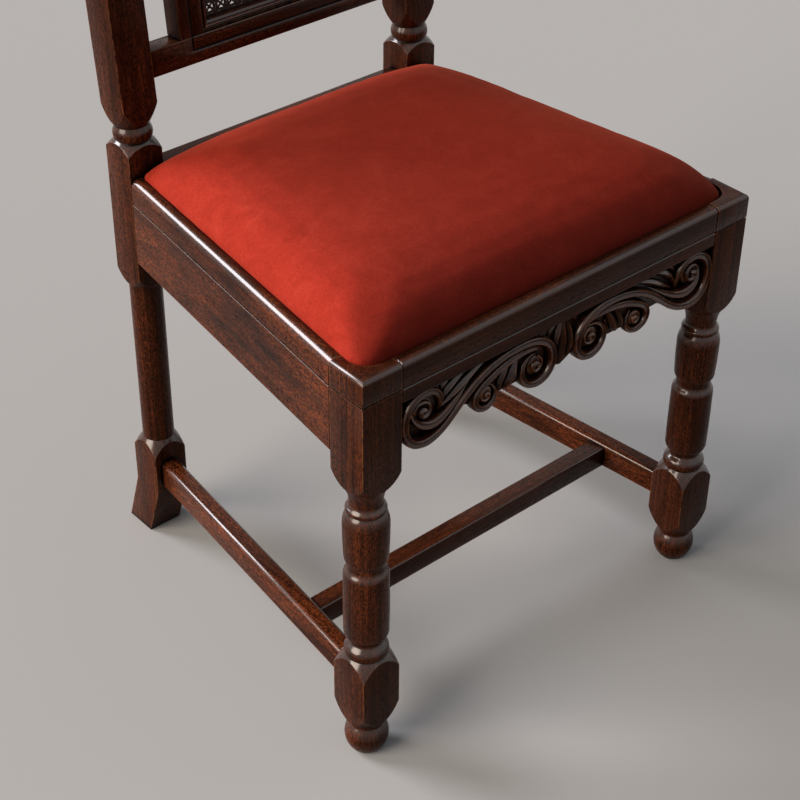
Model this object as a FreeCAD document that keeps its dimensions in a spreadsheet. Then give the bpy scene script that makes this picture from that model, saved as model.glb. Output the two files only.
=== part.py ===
"""Oak dining chair with turned legs, a carved front rail, a caned back and a lift-out velvet seat.

Millimetres, +Z up. The front of the chair faces -Y, and left is -X. Pieces are placed with y measured
back from the front legs' faces; the CHAIR frame then centres the chair over its origin on the floor.
"""
import FreeCAD
import Part
import Sketcher
import math
import os

Vector = FreeCAD.Vector
Placement = FreeCAD.Placement
Rotation = FreeCAD.Rotation

SIZES = {
    # the seat's plan, over the outer faces
    "front_width": 486,
    "rear_width": 394,
    "seat_depth": 404,
    "leg_block": 44,
    "post_block": 39,
    # heights of the legs' parts
    "rail_top": 456,
    "seat_block_height": 111,
    "foot_height": 66,
    "lower_block_height": 42,
    # rear posts
    "post_kick": 22,
    "kick_height": 66,
    "post_block_top": 112,
    "post_seat_bottom": 341,
    "post_seat_top": 478,
    "rake_height": 505,
    "stile_length": 550,
    "stile_shoulder": 24,
    "stile_dome": 12,
    "neck_overlap": 4,
    # seat rails
    "rail_thickness": 24,
    "rail_height": 95,
    "rim": 13,
    "well_depth": 24,
    "well_front_radius": 21,
    "well_back_radius": 4,
    "edge_round": 5,
    "seat_line": 430,
    "line_height": 1.4,
    "line_depth": 1.2,
    "back_rail_ledge": 9,
    "back_rail_thickness": 36,
    # carved apron of the front rail
    "apron_top": 415,
    "apron_sink": 8,
    "apron_margin": 3,
    "volute_radius": 15,
    "volute_proud": 6,
    # stretchers
    "stretcher_width": 20,
    "stretcher_height": 29,
    "stretcher_bottom": 75,
    "stretcher_round": 5,
    "cross_setback": 116,
    "cross_width": 21,
    "cross_height": 24,
    "cross_bottom": 76,
    # joints
    "tenon_length": 18,
    "tenon_thickness": 9,
    "tenon_shoulder": 11,
    "tenon_root": 4,
    "tenon_gap": 0.2,
    "small_tenon_length": 11,
    "small_tenon_shoulder": 5,
    # back
    "lower_rail_rise": 43,
    "lower_rail_height": 27,
    "back_setback": 6,
    "back_thickness": 24,
    "crest_rise": 455,
    "crest_end_height": 66,
    "crest_arch": 22,
    "muntin_inner": 92,
    "muntin_width": 27,
    "muntin_line": 13,
    "moulding_width": 10,
    "moulding_depth": 8,
    "moulding_setback": 4,
    "cane_thickness": 2,
    "cane_hole": 9.5,
    "cane_bridge": 5.2,
    "cane_border": 9,
    "panel_gap": 0.2,
    # corner blocks and their screws
    "brace": 46,
    "brace_height": 40,
    "brace_drop": 4,
    "screw_diameter": 4,
    "screw_head": 8,
    "screw_head_height": 2.4,
    "screw_bite": 12,
    # lift-out seat
    "seat_gap": 1.2,
    "seat_lift": 0.3,
    "cover_thickness": 1.8,
    "cover_turn": 43,
    "cover_edge": 21,
    "crown_height": 45,
    "frame_width": 48,
    "frame_thickness": 14,
    "webbing_width": 50,
    "webbing_thickness": 1.2,
    "webbing_lap": 24,
    "hessian_thickness": 1,
    "hessian_inset": 8,
    "tack_diameter": 1.6,
    "tack_head": 6,
    "tack_head_height": 0.8,
    "tack_length": 9,
    "tack_inset": 37,
    "tack_pitch": 45,
    "overrun": 40,
}

# Turned outlines, from the bottom up: height share, diameter share, and the share that the arc from the
# station below passes through half way. A share over the square's diagonal leaves the square untouched.
SQUARE_SHARE = 1.45
FOOT_SHARES = [(0.0, 0.60, None), (0.515, 0.80, 0.98), (0.58, 0.80, 0.77), (1.0, SQUARE_SHARE, 1.2)]
LEG_SHARES = [
    (0.080, 0.92, 1.22), (0.131, 0.86, 0.98), (0.139, 0.77, None), (0.160, 0.74, 0.72),
    (0.169, 0.80, None), (0.194, 0.98, 0.93), (0.489, 0.98, 0.995), (0.515, 0.88, 0.955),
    (0.523, 0.83, None), (0.557, 0.83, 0.80), (0.582, 0.95, 0.92), (0.743, 0.995, 0.985),
    (0.793, 0.88, 0.965), (0.802, 0.80, None), (0.830, 0.79, 0.87), (0.838, 0.74, None),
    (0.860, 0.72, 0.71), (0.924, 0.92, 0.78), (0.932, 0.97, None), (1.0, SQUARE_SHARE, 1.27),
]
POST_SHARES = [(0.079, 0.87, 1.18), (0.930, 0.87, None), (1.0, SQUARE_SHARE, 1.2)]
NECK_SHARES = [(0.40, 0.86, 1.2), (0.45, 0.95, None), (0.88, 0.93, 1.01), (1.0, 0.84, None)]
STILE_SHARES = [(0.0, 0.84, None), (1.0, SQUARE_SHARE, 1.2)]
DOME_SHARES = [(1.0, 0.80, 1.24)]

# Lean of the back: setback share of its height.
RAKE_SHARE = 0.0963

# Crown of the seat: height share of the crown, and inset share of its run, which is itself a share of the
# seat's shorter way across.
CROWN_RUN_SHARE = 0.326
CROWN_SHARES = [(0.0, 0.0), (0.20, 0.012), (0.42, 0.06), (0.64, 0.17), (0.83, 0.38), (0.95, 0.66), (1.0, 1.0)]

# Lower outline of the apron, from the centre to the leg: place share of the half length, and depth share
# of the apron at the end of each arc and at its middle.
APRON_SHARES = [(0.10, 0.86, 0.96), (0.27, 0.86, 1.0), (0.42, 0.90, 0.83), (0.56, 0.88, 1.0),
                (0.66, 0.76, 0.79), (0.97, 0.84, 1.06)]
# Volutes of the apron: place share of the half length and depth share of the apron.
VOLUTE_SHARES = [(0.173, 0.62), (0.478, 0.74), (0.860, 0.40)]
# Growth of the crown's corner radii with its inset.
CORNER_SHARE = 0.3
# Place of a screw along the corner block's face, and of the outer straps from the middle to the frame.
SCREW_SHARE = 0.36
STRAP_SHARE = 0.5
# How near to the middle of a side an edge is taken to be that side's, by the height of the piece.
NEAR_SHARE = 0.001

SIDES = {"left": -1, "right": 1}

doc = FreeCAD.newDocument("dining_chair")
sheet = doc.addObject("Spreadsheet::Sheet", "Sizes")
for row, (alias, number) in enumerate(SIZES.items(), start=1):
    sheet.set(f"A{row}", alias)
    sheet.set(f"B{row}", str(number))
    sheet.setAlias(f"B{row}", alias)
doc.recompute()


def value_of(item):
    return item.value if isinstance(item, Length) else float(item)


def text_of(item):
    return item.text if isinstance(item, Length) else repr(item)


class Length:
    """A size with its value and the sheet formula that gives it."""

    def __init__(self, value, text):
        self.value = value
        self.text = text

    def __float__(self):
        return self.value

    def __neg__(self):
        return Length(-self.value, f"(-{self.text})")

    def __add__(self, other):
        return Length(self.value + value_of(other), f"({self.text} + {text_of(other)})")

    def __radd__(self, other):
        return Length(value_of(other) + self.value, f"({text_of(other)} + {self.text})")

    def __sub__(self, other):
        return Length(self.value - value_of(other), f"({self.text} - {text_of(other)})")

    def __rsub__(self, other):
        return Length(value_of(other) - self.value, f"({text_of(other)} - {self.text})")

    def __mul__(self, other):
        return Length(self.value * value_of(other), f"({self.text} * {text_of(other)})")

    def __rmul__(self, other):
        return Length(value_of(other) * self.value, f"({text_of(other)} * {self.text})")

    def __truediv__(self, other):
        return Length(self.value / value_of(other), f"({self.text} / {text_of(other)})")


class Sizes:
    """Every cell of the sheet as a Length, by its alias."""

    def __getattr__(self, alias):
        return Length(float(sheet.get(alias)), f"Sizes.{alias}")


s = Sizes()

# Frames
rake = math.atan(RAKE_SHARE)
top_back = (float(s.seat_depth) + float(s.post_block) * math.cos(rake)
            + float(s.stile_length) * math.sin(rake))
CHAIR = Placement(Vector(0, -top_back / 2, 0), Rotation())
# The back's frame: x across, y up along the raked posts, z towards the front from the posts' faces.
BACK = CHAIR * Placement(Vector(0, float(s.seat_depth), float(s.rake_height)),
                         Rotation(Vector(1, 0, 0), math.degrees(math.pi / 2 - rake)))
# Side view: the local plane's x runs back, its y runs up, and its normal runs to the right.
SIDE_VIEW = Rotation(Vector(1, 1, 1), 120)

# Derived places
half_front = s.front_width / 2
half_rear = s.rear_width / 2
leg_inner = half_front - s.leg_block
post_inner = half_rear - s.post_block
rail_bottom = s.rail_top - s.rail_height
ledge = s.rail_top - s.well_depth
lower_block_top = s.foot_height + s.lower_block_height
seat_block_bottom = s.rail_top - s.seat_block_height


def outer_at(y):
    """Half width over the side rails' outer faces, y back from the front."""
    return half_front - (half_front - half_rear) * (y - s.leg_block) / (s.seat_depth - s.leg_block)


def stretcher_at(y):
    """Half distance between the side stretchers' middles, y back from the front."""
    leg_middle = half_front - s.leg_block / 2
    post_middle = half_rear - s.post_block / 2
    run = s.seat_depth + s.post_block / 2 - s.leg_block / 2
    return leg_middle - (leg_middle - post_middle) * (y - s.leg_block / 2) / run


def span(side, near, far):
    """Low and high x of a stretch from near to far, on the left (-1) or the right (1)."""
    return (near, far) if side > 0 else (-far, -near)


# Shapes that the pieces are made of
def block(label, low, high, frame=CHAIR):
    piece = doc.addObject("Part::Box", label)
    for size_name, start, end in zip(("Length", "Width", "Height"), low, high):
        piece.setExpression(size_name, text_of(end - start))
    piece.Placement = frame * Placement(Vector(*[value_of(item) for item in low]), Rotation())
    return piece


def fuse(label, pieces):
    joined = doc.addObject("Part::MultiFuse", label)
    joined.Shapes = pieces
    return joined


def cut(label, base, tools):
    result = doc.addObject("Part::Cut", label)
    result.Base = base
    result.Tool = tools[0] if len(tools) == 1 else fuse(f"{label}_cuts", tools)
    return result


def common(label, first, second):
    result = doc.addObject("Part::MultiCommon", label)
    result.Shapes = [first, second]
    return result


def group(label, pieces):
    result = doc.addObject("Part::Compound", label)
    result.Links = pieces
    return result


def formed(label, shape, frame=CHAIR):
    piece = doc.addObject("Part::Feature", label)
    piece.Shape = shape
    piece.Placement = frame
    return piece


def fix_corner(sketch, index, place, axis_name, axis_line):
    """Ties one coordinate of a sketch corner to the sheet, or to the axis where it is zero."""
    if isinstance(place, Length):
        tie = Sketcher.Constraint(f"Distance{axis_name}", -1, 1, index, 1, place.value)
        number = sketch.addConstraint(tie)
        sketch.setExpression(f"Constraints[{number}]", place.text)
    else:
        sketch.addConstraint(Sketcher.Constraint("PointOnObject", index, 1, axis_line))


def prism(label, points, low, high, frame=CHAIR, rounded=(), radius=None):
    """A padded polygon from low to high, with the listed sides' top edges rounded."""
    body = doc.addObject("PartDesign::Body", label)
    sketch = body.newObject("Sketcher::SketchObject", f"{label}_outline")
    plane = [item for item in body.Origin.OriginFeatures if item.Role == "XY_Plane"][0]
    sketch.AttachmentSupport = [(plane, "")]
    sketch.MapMode = "FlatFace"
    corners = [Vector(value_of(x), value_of(y), 0) for x, y in points]
    ends = corners[1:] + corners[:1]
    for start, end in zip(corners, ends):
        sketch.addGeometry(Part.LineSegment(start, end), False)
    for index in range(len(corners)):
        follower = (index + 1) % len(corners)
        sketch.addConstraint(Sketcher.Constraint("Coincident", index, 2, follower, 1))
    for index, (x, y) in enumerate(points):
        fix_corner(sketch, index, x, "X", -2)
        fix_corner(sketch, index, y, "Y", -1)
    pad = body.newObject("PartDesign::Pad", f"{label}_pad")
    pad.Profile = sketch
    pad.setExpression("Length", text_of(high - low))
    doc.recompute()
    if rounded:
        height = float(high - low)
        middles = [(corners[index] + ends[index]) / 2 + Vector(0, 0, height) for index in rounded]
        names = [f"Edge{number}" for number, edge in enumerate(pad.Shape.Edges, start=1)
                 if any(edge.CenterOfMass.distanceToPoint(middle) < height * NEAR_SHARE
                        for middle in middles)]
        fillet = body.newObject("PartDesign::Fillet", f"{label}_rounding")
        fillet.Base = (pad, names)
        fillet.setExpression("Radius", text_of(radius))
        doc.recompute()
    body.Placement = frame * Placement(Vector(0, 0, value_of(low)), Rotation())
    return body


def turning(label, stations, frame):
    """A solid of revolution about the frame's z: stations are height, diameter and the arc's middle one."""
    edges = []
    heights = [value_of(station[0]) for station in stations]
    radii = [value_of(station[1]) / 2 for station in stations]
    for index in range(1, len(stations)):
        start = Vector(radii[index - 1], 0, heights[index - 1])
        end = Vector(radii[index], 0, heights[index])
        through = stations[index][2]
        if through is None:
            edges.append(Part.makeLine(start, end))
        else:
            middle = Vector(value_of(through) / 2, 0, (start.z + end.z) / 2)
            edges.append(Part.Arc(start, middle, end).toShape())
    foot = Vector(0, 0, heights[0])
    crown = Vector(0, 0, heights[-1])
    edges.append(Part.makeLine(edges[-1].Vertexes[-1].Point, crown))
    edges.append(Part.makeLine(crown, foot))
    edges.append(Part.makeLine(foot, Vector(radii[0], 0, heights[0])))
    face = Part.Face(Part.Wire(Part.__sortEdges__(edges)))
    return formed(label, face.revolve(Vector(0, 0, 0), Vector(0, 0, 1), 360), frame)


def stretch(low, high, square, shares):
    """Stations of one turned stretch from low to high, in a square of the given side."""
    return [(low + (high - low) * rise, square * width, None if middle is None else square * middle)
            for rise, width, middle in shares]


def rounded_outline(points, radii, z):
    """A closed wire at height z through straight sides and tangent corner arcs."""
    edges = []
    count = len(points)
    starts, ends = [], []
    for index, corner in enumerate(points):
        before = (points[index - 1] - corner).normalize()
        after = (points[(index + 1) % count] - corner).normalize()
        half_angle = before.getAngle(after) / 2
        reach = radii[index] / math.tan(half_angle)
        inward = (before + after).normalize()
        centre = corner + inward * (radii[index] / math.sin(half_angle))
        starts.append(corner + before * reach)
        ends.append(corner + after * reach)
        edges.append(Part.Arc(starts[-1], centre - inward * radii[index], ends[-1]).toShape())
    straight = [Part.makeLine(ends[index], starts[(index + 1) % count]) for index in range(count)]
    wire = Part.Wire([edge for pair in zip(edges, straight) for edge in pair])
    wire.translate(Vector(0, 0, z))
    return wire


def seat_wire(inset, z):
    """The seat's outline, drawn in from the rim's inner face, with rounded corners."""
    front = float(s.rim) + inset
    back = float(s.seat_depth) - inset
    half_at_front = value_of(outer_at(front)) - float(s.rim) - inset
    half_at_back = value_of(outer_at(back)) - float(s.rim) - inset
    points = [Vector(-half_at_front, front, 0), Vector(half_at_front, front, 0),
              Vector(half_at_back, back, 0), Vector(-half_at_back, back, 0)]
    front_radius = float(s.well_front_radius) + inset * CORNER_SHARE
    back_radius = float(s.well_back_radius) + inset * CORNER_SHARE
    return rounded_outline(points, [front_radius, front_radius, back_radius, back_radius], z)


def seat_prism(inset, low, high):
    return Part.Face(seat_wire(inset, low)).extrude(Vector(0, 0, high - low))


# Tenons: low and high corners of each, in the chair's or the back's frame
def front_rail_tenon(side):
    x = span(side, leg_inner - s.tenon_root, leg_inner + s.tenon_length)
    y = s.rail_thickness / 2
    return ((x[0], y - s.tenon_thickness / 2, rail_bottom + s.tenon_shoulder),
            (x[1], y + s.tenon_thickness / 2, ledge - s.tenon_shoulder))


def side_rail_tenon(side, end):
    depth = s.leg_block if end == "front" else s.seat_depth
    back = s.tenon_length if end == "front" else s.tenon_root
    ahead = s.tenon_root if end == "front" else s.tenon_length
    middle = outer_at(depth) - s.rail_thickness / 2
    x = span(side, middle - s.tenon_thickness / 2, middle + s.tenon_thickness / 2)
    return ((x[0], depth - back, rail_bottom + s.tenon_shoulder),
            (x[1], depth + ahead, ledge - s.tenon_shoulder))


def back_rail_tenon(side):
    x = span(side, post_inner - s.tenon_root, post_inner + s.tenon_length)
    y = s.seat_depth + s.post_block / 2
    return ((x[0], y - s.tenon_thickness / 2, rail_bottom + s.tenon_shoulder),
            (x[1], y + s.tenon_thickness / 2, ledge - s.tenon_shoulder))


def stretcher_tenon(side, end):
    depth = s.leg_block if end == "front" else s.seat_depth
    back = s.tenon_length if end == "front" else s.tenon_root
    ahead = s.tenon_root if end == "front" else s.tenon_length
    middle = stretcher_at(depth)
    x = span(side, middle - s.tenon_thickness / 2, middle + s.tenon_thickness / 2)
    top = s.stretcher_bottom + s.stretcher_height
    return ((x[0], depth - back, s.stretcher_bottom + s.small_tenon_shoulder),
            (x[1], depth + ahead, top - s.small_tenon_shoulder - s.stretcher_round))


def cross_tenon(side):
    middle = s.cross_setback + s.cross_width / 2
    face = stretcher_at(middle) - s.stretcher_width / 2
    x = span(side, face - s.small_tenon_length, face + s.small_tenon_length)
    return ((x[0], middle - s.tenon_thickness / 2, s.cross_bottom + s.small_tenon_shoulder),
            (x[1], middle + s.tenon_thickness / 2, s.cross_bottom + s.cross_height - s.small_tenon_shoulder))


def back_tenon(side, rise, height):
    """Tenon of a rail of the back into a post."""
    x = span(side, post_inner - s.tenon_root, post_inner + s.tenon_length)
    middle = -s.back_setback - s.back_thickness / 2
    return ((x[0], rise + s.small_tenon_shoulder, middle - s.tenon_thickness / 2),
            (x[1], rise + height - s.small_tenon_shoulder, middle + s.tenon_thickness / 2))


def muntin_tenon(side):
    """One tongue the whole length of an upright, into both rails."""
    outer = s.muntin_inner + s.muntin_width
    x = span(side, s.muntin_inner + s.small_tenon_shoulder, outer - s.small_tenon_shoulder)
    middle = -s.back_setback - s.back_thickness / 2
    low = s.lower_rail_rise + s.lower_rail_height - s.small_tenon_length
    return ((x[0], low, middle - s.tenon_thickness / 2),
            (x[1], s.crest_rise + s.small_tenon_length, middle + s.tenon_thickness / 2))


def mortise(label, tenon, frame=CHAIR):
    low = [item - s.tenon_gap for item in tenon[0]]
    high = [item + s.tenon_gap for item in tenon[1]]
    return block(label, low, high, frame)


# Cuts that several pieces share
seat_well = formed("seat_well", seat_prism(0, float(ledge), float(s.rail_top + s.overrun)))
line_low = s.seat_line - s.line_height / 2
line_high = s.seat_line + s.line_height / 2
line_outside = prism("line_outside", [
    (-half_front - s.overrun, -s.overrun), (half_front + s.overrun, -s.overrun),
    (half_rear + s.overrun, s.seat_depth), (-half_rear - s.overrun, s.seat_depth)], line_low, line_high)
line_inside = prism("line_inside", [
    (-half_front + s.line_depth, s.line_depth), (half_front - s.line_depth, s.line_depth),
    (half_front - s.line_depth, s.leg_block), (half_rear - s.line_depth, s.seat_depth + s.overrun),
    (-half_rear + s.line_depth, s.seat_depth + s.overrun), (-half_front + s.line_depth, s.leg_block)],
    line_low, line_high)
incised_line = cut("incised_line", line_outside, [line_inside])


def front_leg(name, side):
    label = f"front_leg_{name}"
    x = span(side, leg_inner, half_front)
    outline = [(x[0], 0), (x[1], 0), (x[1], s.leg_block), (x[0], s.leg_block)]
    outer_side = 1 if side > 0 else 3
    blank = prism(f"{label}_blank", outline, 0, s.rail_top,
                  rounded=(0, outer_side), radius=s.edge_round)
    axis = Placement(Vector(side * value_of(half_front - s.leg_block / 2),
                            value_of(s.leg_block / 2), 0), Rotation())
    stations = stretch(0, s.foot_height, s.leg_block, FOOT_SHARES)
    stations.append((lower_block_top, s.leg_block * SQUARE_SHARE, None))
    stations += stretch(lower_block_top, seat_block_bottom, s.leg_block, LEG_SHARES)
    stations.append((s.rail_top, s.leg_block * SQUARE_SHARE, None))
    turned = common(f"{label}_turned", blank, turning(f"{label}_turning", stations, CHAIR * axis))
    return cut(label, turned, [
        seat_well, incised_line,
        mortise(f"{label}_front_mortise", front_rail_tenon(side)),
        mortise(f"{label}_side_mortise", side_rail_tenon(side, "front")),
        mortise(f"{label}_stretcher_mortise", stretcher_tenon(side, "front"))])


def back_post(name, side):
    label = f"back_post_{name}"
    x = span(side, post_inner, half_rear)
    foot_frame = CHAIR * Placement(Vector(0, value_of(s.seat_depth), 0), SIDE_VIEW)
    foot = prism(f"{label}_foot", [
        (s.post_kick, 0), (s.post_kick + s.post_block, 0),
        (s.post_block, s.kick_height), (0, s.kick_height)], x[0], x[1], foot_frame)
    neck_top = s.rake_height + s.neck_overlap
    square = block(f"{label}_square", (x[0], s.seat_depth, s.kick_height),
                   (x[1], s.seat_depth + s.post_block, neck_top))
    axis = Placement(Vector(side * value_of(half_rear - s.post_block / 2),
                            value_of(s.seat_depth + s.post_block / 2), 0), Rotation())
    stations = [(s.kick_height, s.post_block * SQUARE_SHARE, None),
                (s.post_block_top, s.post_block * SQUARE_SHARE, None)]
    stations += stretch(s.post_block_top, s.post_seat_bottom, s.post_block, POST_SHARES)
    stations.append((s.post_seat_top, s.post_block * SQUARE_SHARE, None))
    stations += stretch(s.post_seat_top, s.rake_height, s.post_block, NECK_SHARES)
    stations.append((neck_top, s.post_block * NECK_SHARES[-1][1], None))
    lower = common(f"{label}_lower", square, turning(f"{label}_turning", stations, CHAIR * axis))
    stile_low = (x[0], -s.neck_overlap, -s.post_block)
    stile_square = block(f"{label}_stile_square", stile_low, (x[1], s.stile_length, 0), BACK)
    stile_axis = BACK * Placement(Vector(axis.Base.x, 0, -value_of(s.post_block / 2)),
                                  Rotation(Vector(1, 0, 0), -90))
    stations = [(-s.neck_overlap, s.post_block * STILE_SHARES[0][1], None)]
    stations += stretch(0, s.stile_shoulder, s.post_block, STILE_SHARES)
    dome_start = s.stile_length - s.stile_dome
    stations.append((dome_start, s.post_block * SQUARE_SHARE, None))
    stations += stretch(dome_start, s.stile_length, s.post_block, DOME_SHARES)
    stile = common(f"{label}_stile", stile_square, turning(f"{label}_stile_turning", stations, stile_axis))
    whole = fuse(f"{label}_whole", [foot, lower, stile])
    return cut(label, whole, [
        mortise(f"{label}_side_mortise", side_rail_tenon(side, "rear")),
        mortise(f"{label}_back_mortise", back_rail_tenon(side)),
        mortise(f"{label}_stretcher_mortise", stretcher_tenon(side, "rear")),
        mortise(f"{label}_lower_mortise", back_tenon(side, s.lower_rail_rise, s.lower_rail_height), BACK),
        mortise(f"{label}_crest_mortise", back_tenon(side, s.crest_rise, s.crest_end_height), BACK)])


def apron_shape():
    """The apron's board: its lower edge is a row of arcs, the same on both halves."""
    half = float(leg_inner)
    top = float(s.apron_top)
    deep = top - float(rail_bottom)
    right = [Vector(0, 0, top - deep * APRON_SHARES[0][1])]
    edges = []
    for place, end_share, middle_share in APRON_SHARES:
        start = right[-1]
        end = Vector(half * place, 0, top - deep * end_share)
        middle = Vector((start.x + end.x) / 2, 0, top - deep * middle_share)
        for sign in (1, -1):
            points = [Vector(sign * point.x, 0, point.z) for point in (start, middle, end)]
            edges.append(Part.Arc(*points).toShape())
        right.append(end)
    last = right[-1]
    for sign in (1, -1):
        tip = Vector(sign * last.x, 0, last.z)
        side_foot = Vector(sign * half, 0, last.z)
        side_top = Vector(sign * half, 0, top)
        edges.append(Part.makeLine(tip, side_foot))
        edges.append(Part.makeLine(side_foot, side_top))
    edges.append(Part.makeLine(Vector(-half, 0, top), Vector(half, 0, top)))
    face = Part.Face(Part.Wire(Part.__sortEdges__(edges)))
    return face.extrude(Vector(0, float(s.rail_thickness), 0))


def front_seat_rail():
    rail = prism("front_rail_blank", [
        (-leg_inner, 0), (leg_inner, 0), (leg_inner, s.rail_thickness), (-leg_inner, s.rail_thickness)],
        s.apron_top, s.rail_top, rounded=(0,), radius=s.edge_round)
    apron = formed("front_rail_apron", apron_shape())
    ground = block("front_rail_ground",
                   (-leg_inner + s.apron_margin, -s.overrun, rail_bottom - s.overrun),
                   (leg_inner - s.apron_margin, s.apron_sink, s.apron_top))
    sunk = cut("front_rail_sunk", apron, [ground])
    deep = s.apron_top - rail_bottom
    volutes = []
    for side_name, side in SIDES.items():
        for number, (place, drop) in enumerate(VOLUTE_SHARES, start=1):
            volute = doc.addObject("Part::Cylinder", f"volute_{side_name}_{number}")
            volute.setExpression("Radius", text_of(s.volute_radius))
            volute.setExpression("Height", text_of(s.volute_proud + s.apron_margin))
            centre = Vector(side * value_of(leg_inner * place), value_of(s.apron_sink + s.apron_margin),
                            value_of(s.apron_top - deep * drop))
            volute.Placement = CHAIR * Placement(centre, Rotation(Vector(1, 0, 0), 90))
            volutes.append(volute)
    carved = common("front_rail_volutes", fuse("volute_group", volutes), apron)
    tenons = [block(f"front_rail_tenon_{name}", *front_rail_tenon(side)) for name, side in SIDES.items()]
    whole = fuse("front_rail_whole", [rail, sunk, carved] + tenons)
    return cut("front_seat_rail", whole, [seat_well, incised_line])


def side_seat_rail(name, side):
    label = f"side_seat_rail_{name}"
    front_outer = outer_at(s.leg_block)
    rear_outer = outer_at(s.seat_depth)
    outline = [(side * front_outer, s.leg_block), (side * rear_outer, s.seat_depth),
               (side * (rear_outer - s.rail_thickness), s.seat_depth),
               (side * (front_outer - s.rail_thickness), s.leg_block)]
    rail = prism(f"{label}_blank", outline, rail_bottom, s.rail_top, rounded=(0,), radius=s.edge_round)
    tenons = [block(f"{label}_{end}_tenon", *side_rail_tenon(side, end)) for end in ("front", "rear")]
    return cut(label, fuse(f"{label}_whole", [rail] + tenons), [seat_well, incised_line])


def back_seat_rail():
    front = s.seat_depth - s.back_rail_ledge
    rail = block("back_rail_blank", (-post_inner, front, rail_bottom),
                 (post_inner, front + s.back_rail_thickness, s.rail_top))
    tenons = [block(f"back_rail_tenon_{name}", *back_rail_tenon(side)) for name, side in SIDES.items()]
    return cut("back_seat_rail", fuse("back_rail_whole", [rail] + tenons), [seat_well])


def side_stretcher(name, side):
    label = f"side_stretcher_{name}"
    front = stretcher_at(s.leg_block)
    rear = stretcher_at(s.seat_depth)
    half = s.stretcher_width / 2
    outline = [(side * (front - half), s.leg_block), (side * (front + half), s.leg_block),
               (side * (rear + half), s.seat_depth), (side * (rear - half), s.seat_depth)]
    bar = prism(f"{label}_bar", outline, s.stretcher_bottom, s.stretcher_bottom + s.stretcher_height,
                rounded=(1, 3), radius=s.stretcher_round)
    tenons = [block(f"{label}_{end}_tenon", *stretcher_tenon(side, end)) for end in ("front", "rear")]
    whole = fuse(f"{label}_whole", [bar] + tenons)
    return cut(label, whole, [mortise(f"{label}_mortise", cross_tenon(side))])


def cross_stretcher():
    front = s.cross_setback
    rear = s.cross_setback + s.cross_width
    near = stretcher_at(front) - s.stretcher_width / 2
    far = stretcher_at(rear) - s.stretcher_width / 2
    bar = prism("cross_bar", [(-near, front), (near, front), (far, rear), (-far, rear)],
                s.cross_bottom, s.cross_bottom + s.cross_height, rounded=(0, 2), radius=s.stretcher_round / 2)
    tenons = [block(f"cross_tenon_{name}", *cross_tenon(side)) for name, side in SIDES.items()]
    return fuse("cross_stretcher", [bar] + tenons)


def back_line(label, low, high):
    """A scratched line in the front of a rail or upright of the back."""
    face = -s.back_setback
    return block(label, (low[0], low[1], face - s.line_depth), (high[0], high[1], face + s.overrun), BACK)


def lower_back_rail():
    top = s.lower_rail_rise + s.lower_rail_height
    face = -s.back_setback
    rail = block("lower_rail_blank", (-post_inner, s.lower_rail_rise, face - s.back_thickness),
                 (post_inner, top, face), BACK)
    tenons = [block(f"lower_rail_tenon_{name}",
                    *back_tenon(side, s.lower_rail_rise, s.lower_rail_height), BACK)
              for name, side in SIDES.items()]
    line_y = top - s.muntin_line
    line_x = s.muntin_inner + s.muntin_line
    cuts = [back_line("lower_rail_line", (-line_x, line_y - s.line_height), (line_x, line_y))]
    for name, side in SIDES.items():
        x = span(side, line_x, line_x + s.line_height)
        cuts.append(back_line(f"lower_rail_line_{name}", (x[0], line_y - s.line_height),
                              (x[1], top + s.overrun)))
        cuts.append(mortise(f"lower_rail_mortise_{name}", muntin_tenon(side), BACK))
    return cut("lower_back_rail", fuse("lower_rail_whole", [rail] + tenons), cuts)


def back_muntin(name, side):
    label = f"back_muntin_{name}"
    x = span(side, s.muntin_inner, s.muntin_inner + s.muntin_width)
    face = -s.back_setback
    foot = s.lower_rail_rise + s.lower_rail_height
    upright = block(f"{label}_blank", (x[0], foot, face - s.back_thickness),
                    (x[1], s.crest_rise, face), BACK)
    tongue = block(f"{label}_tongue", *muntin_tenon(side), BACK)
    line_start = s.muntin_inner + s.muntin_line
    line_x = span(side, line_start, line_start + s.line_height)
    line = back_line(f"{label}_line", (line_x[0], s.lower_rail_rise),
                     (line_x[1], s.crest_rise + s.overrun))
    return cut(label, fuse(f"{label}_whole", [upright, tongue]), [line])


def crest_rail():
    half = float(post_inner)
    low = float(s.crest_rise)
    end = low + float(s.crest_end_height)
    peak = end + float(s.crest_arch)
    arch = Part.Arc(Vector(-half, end, 0), Vector(0, peak, 0), Vector(half, end, 0)).toShape()
    sides = Part.makePolygon([Vector(half, end, 0), Vector(half, low, 0),
                              Vector(-half, low, 0), Vector(-half, end, 0)])
    face = Part.Face(Part.Wire([arch] + sides.Edges))
    board = formed("crest_board", face.extrude(Vector(0, 0, float(s.back_thickness))),
                   BACK * Placement(Vector(0, 0, -value_of(s.back_setback + s.back_thickness)), Rotation()))
    tenons = [block(f"crest_tenon_{name}", *back_tenon(side, s.crest_rise, s.crest_end_height), BACK)
              for name, side in SIDES.items()]
    line_y = s.crest_rise + s.muntin_line
    line_x = s.muntin_inner + s.muntin_line
    cuts = [back_line("crest_line", (-line_x, line_y), (line_x, line_y + s.line_height))]
    for name, side in SIDES.items():
        x = span(side, line_x, line_x + s.line_height)
        cuts.append(back_line(f"crest_line_{name}", (x[0], s.crest_rise - s.overrun),
                              (x[1], line_y + s.line_height)))
        cuts.append(mortise(f"crest_mortise_{name}", muntin_tenon(side), BACK))
    return cut("crest_rail", fuse("crest_whole", [board] + tenons), cuts)


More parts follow.
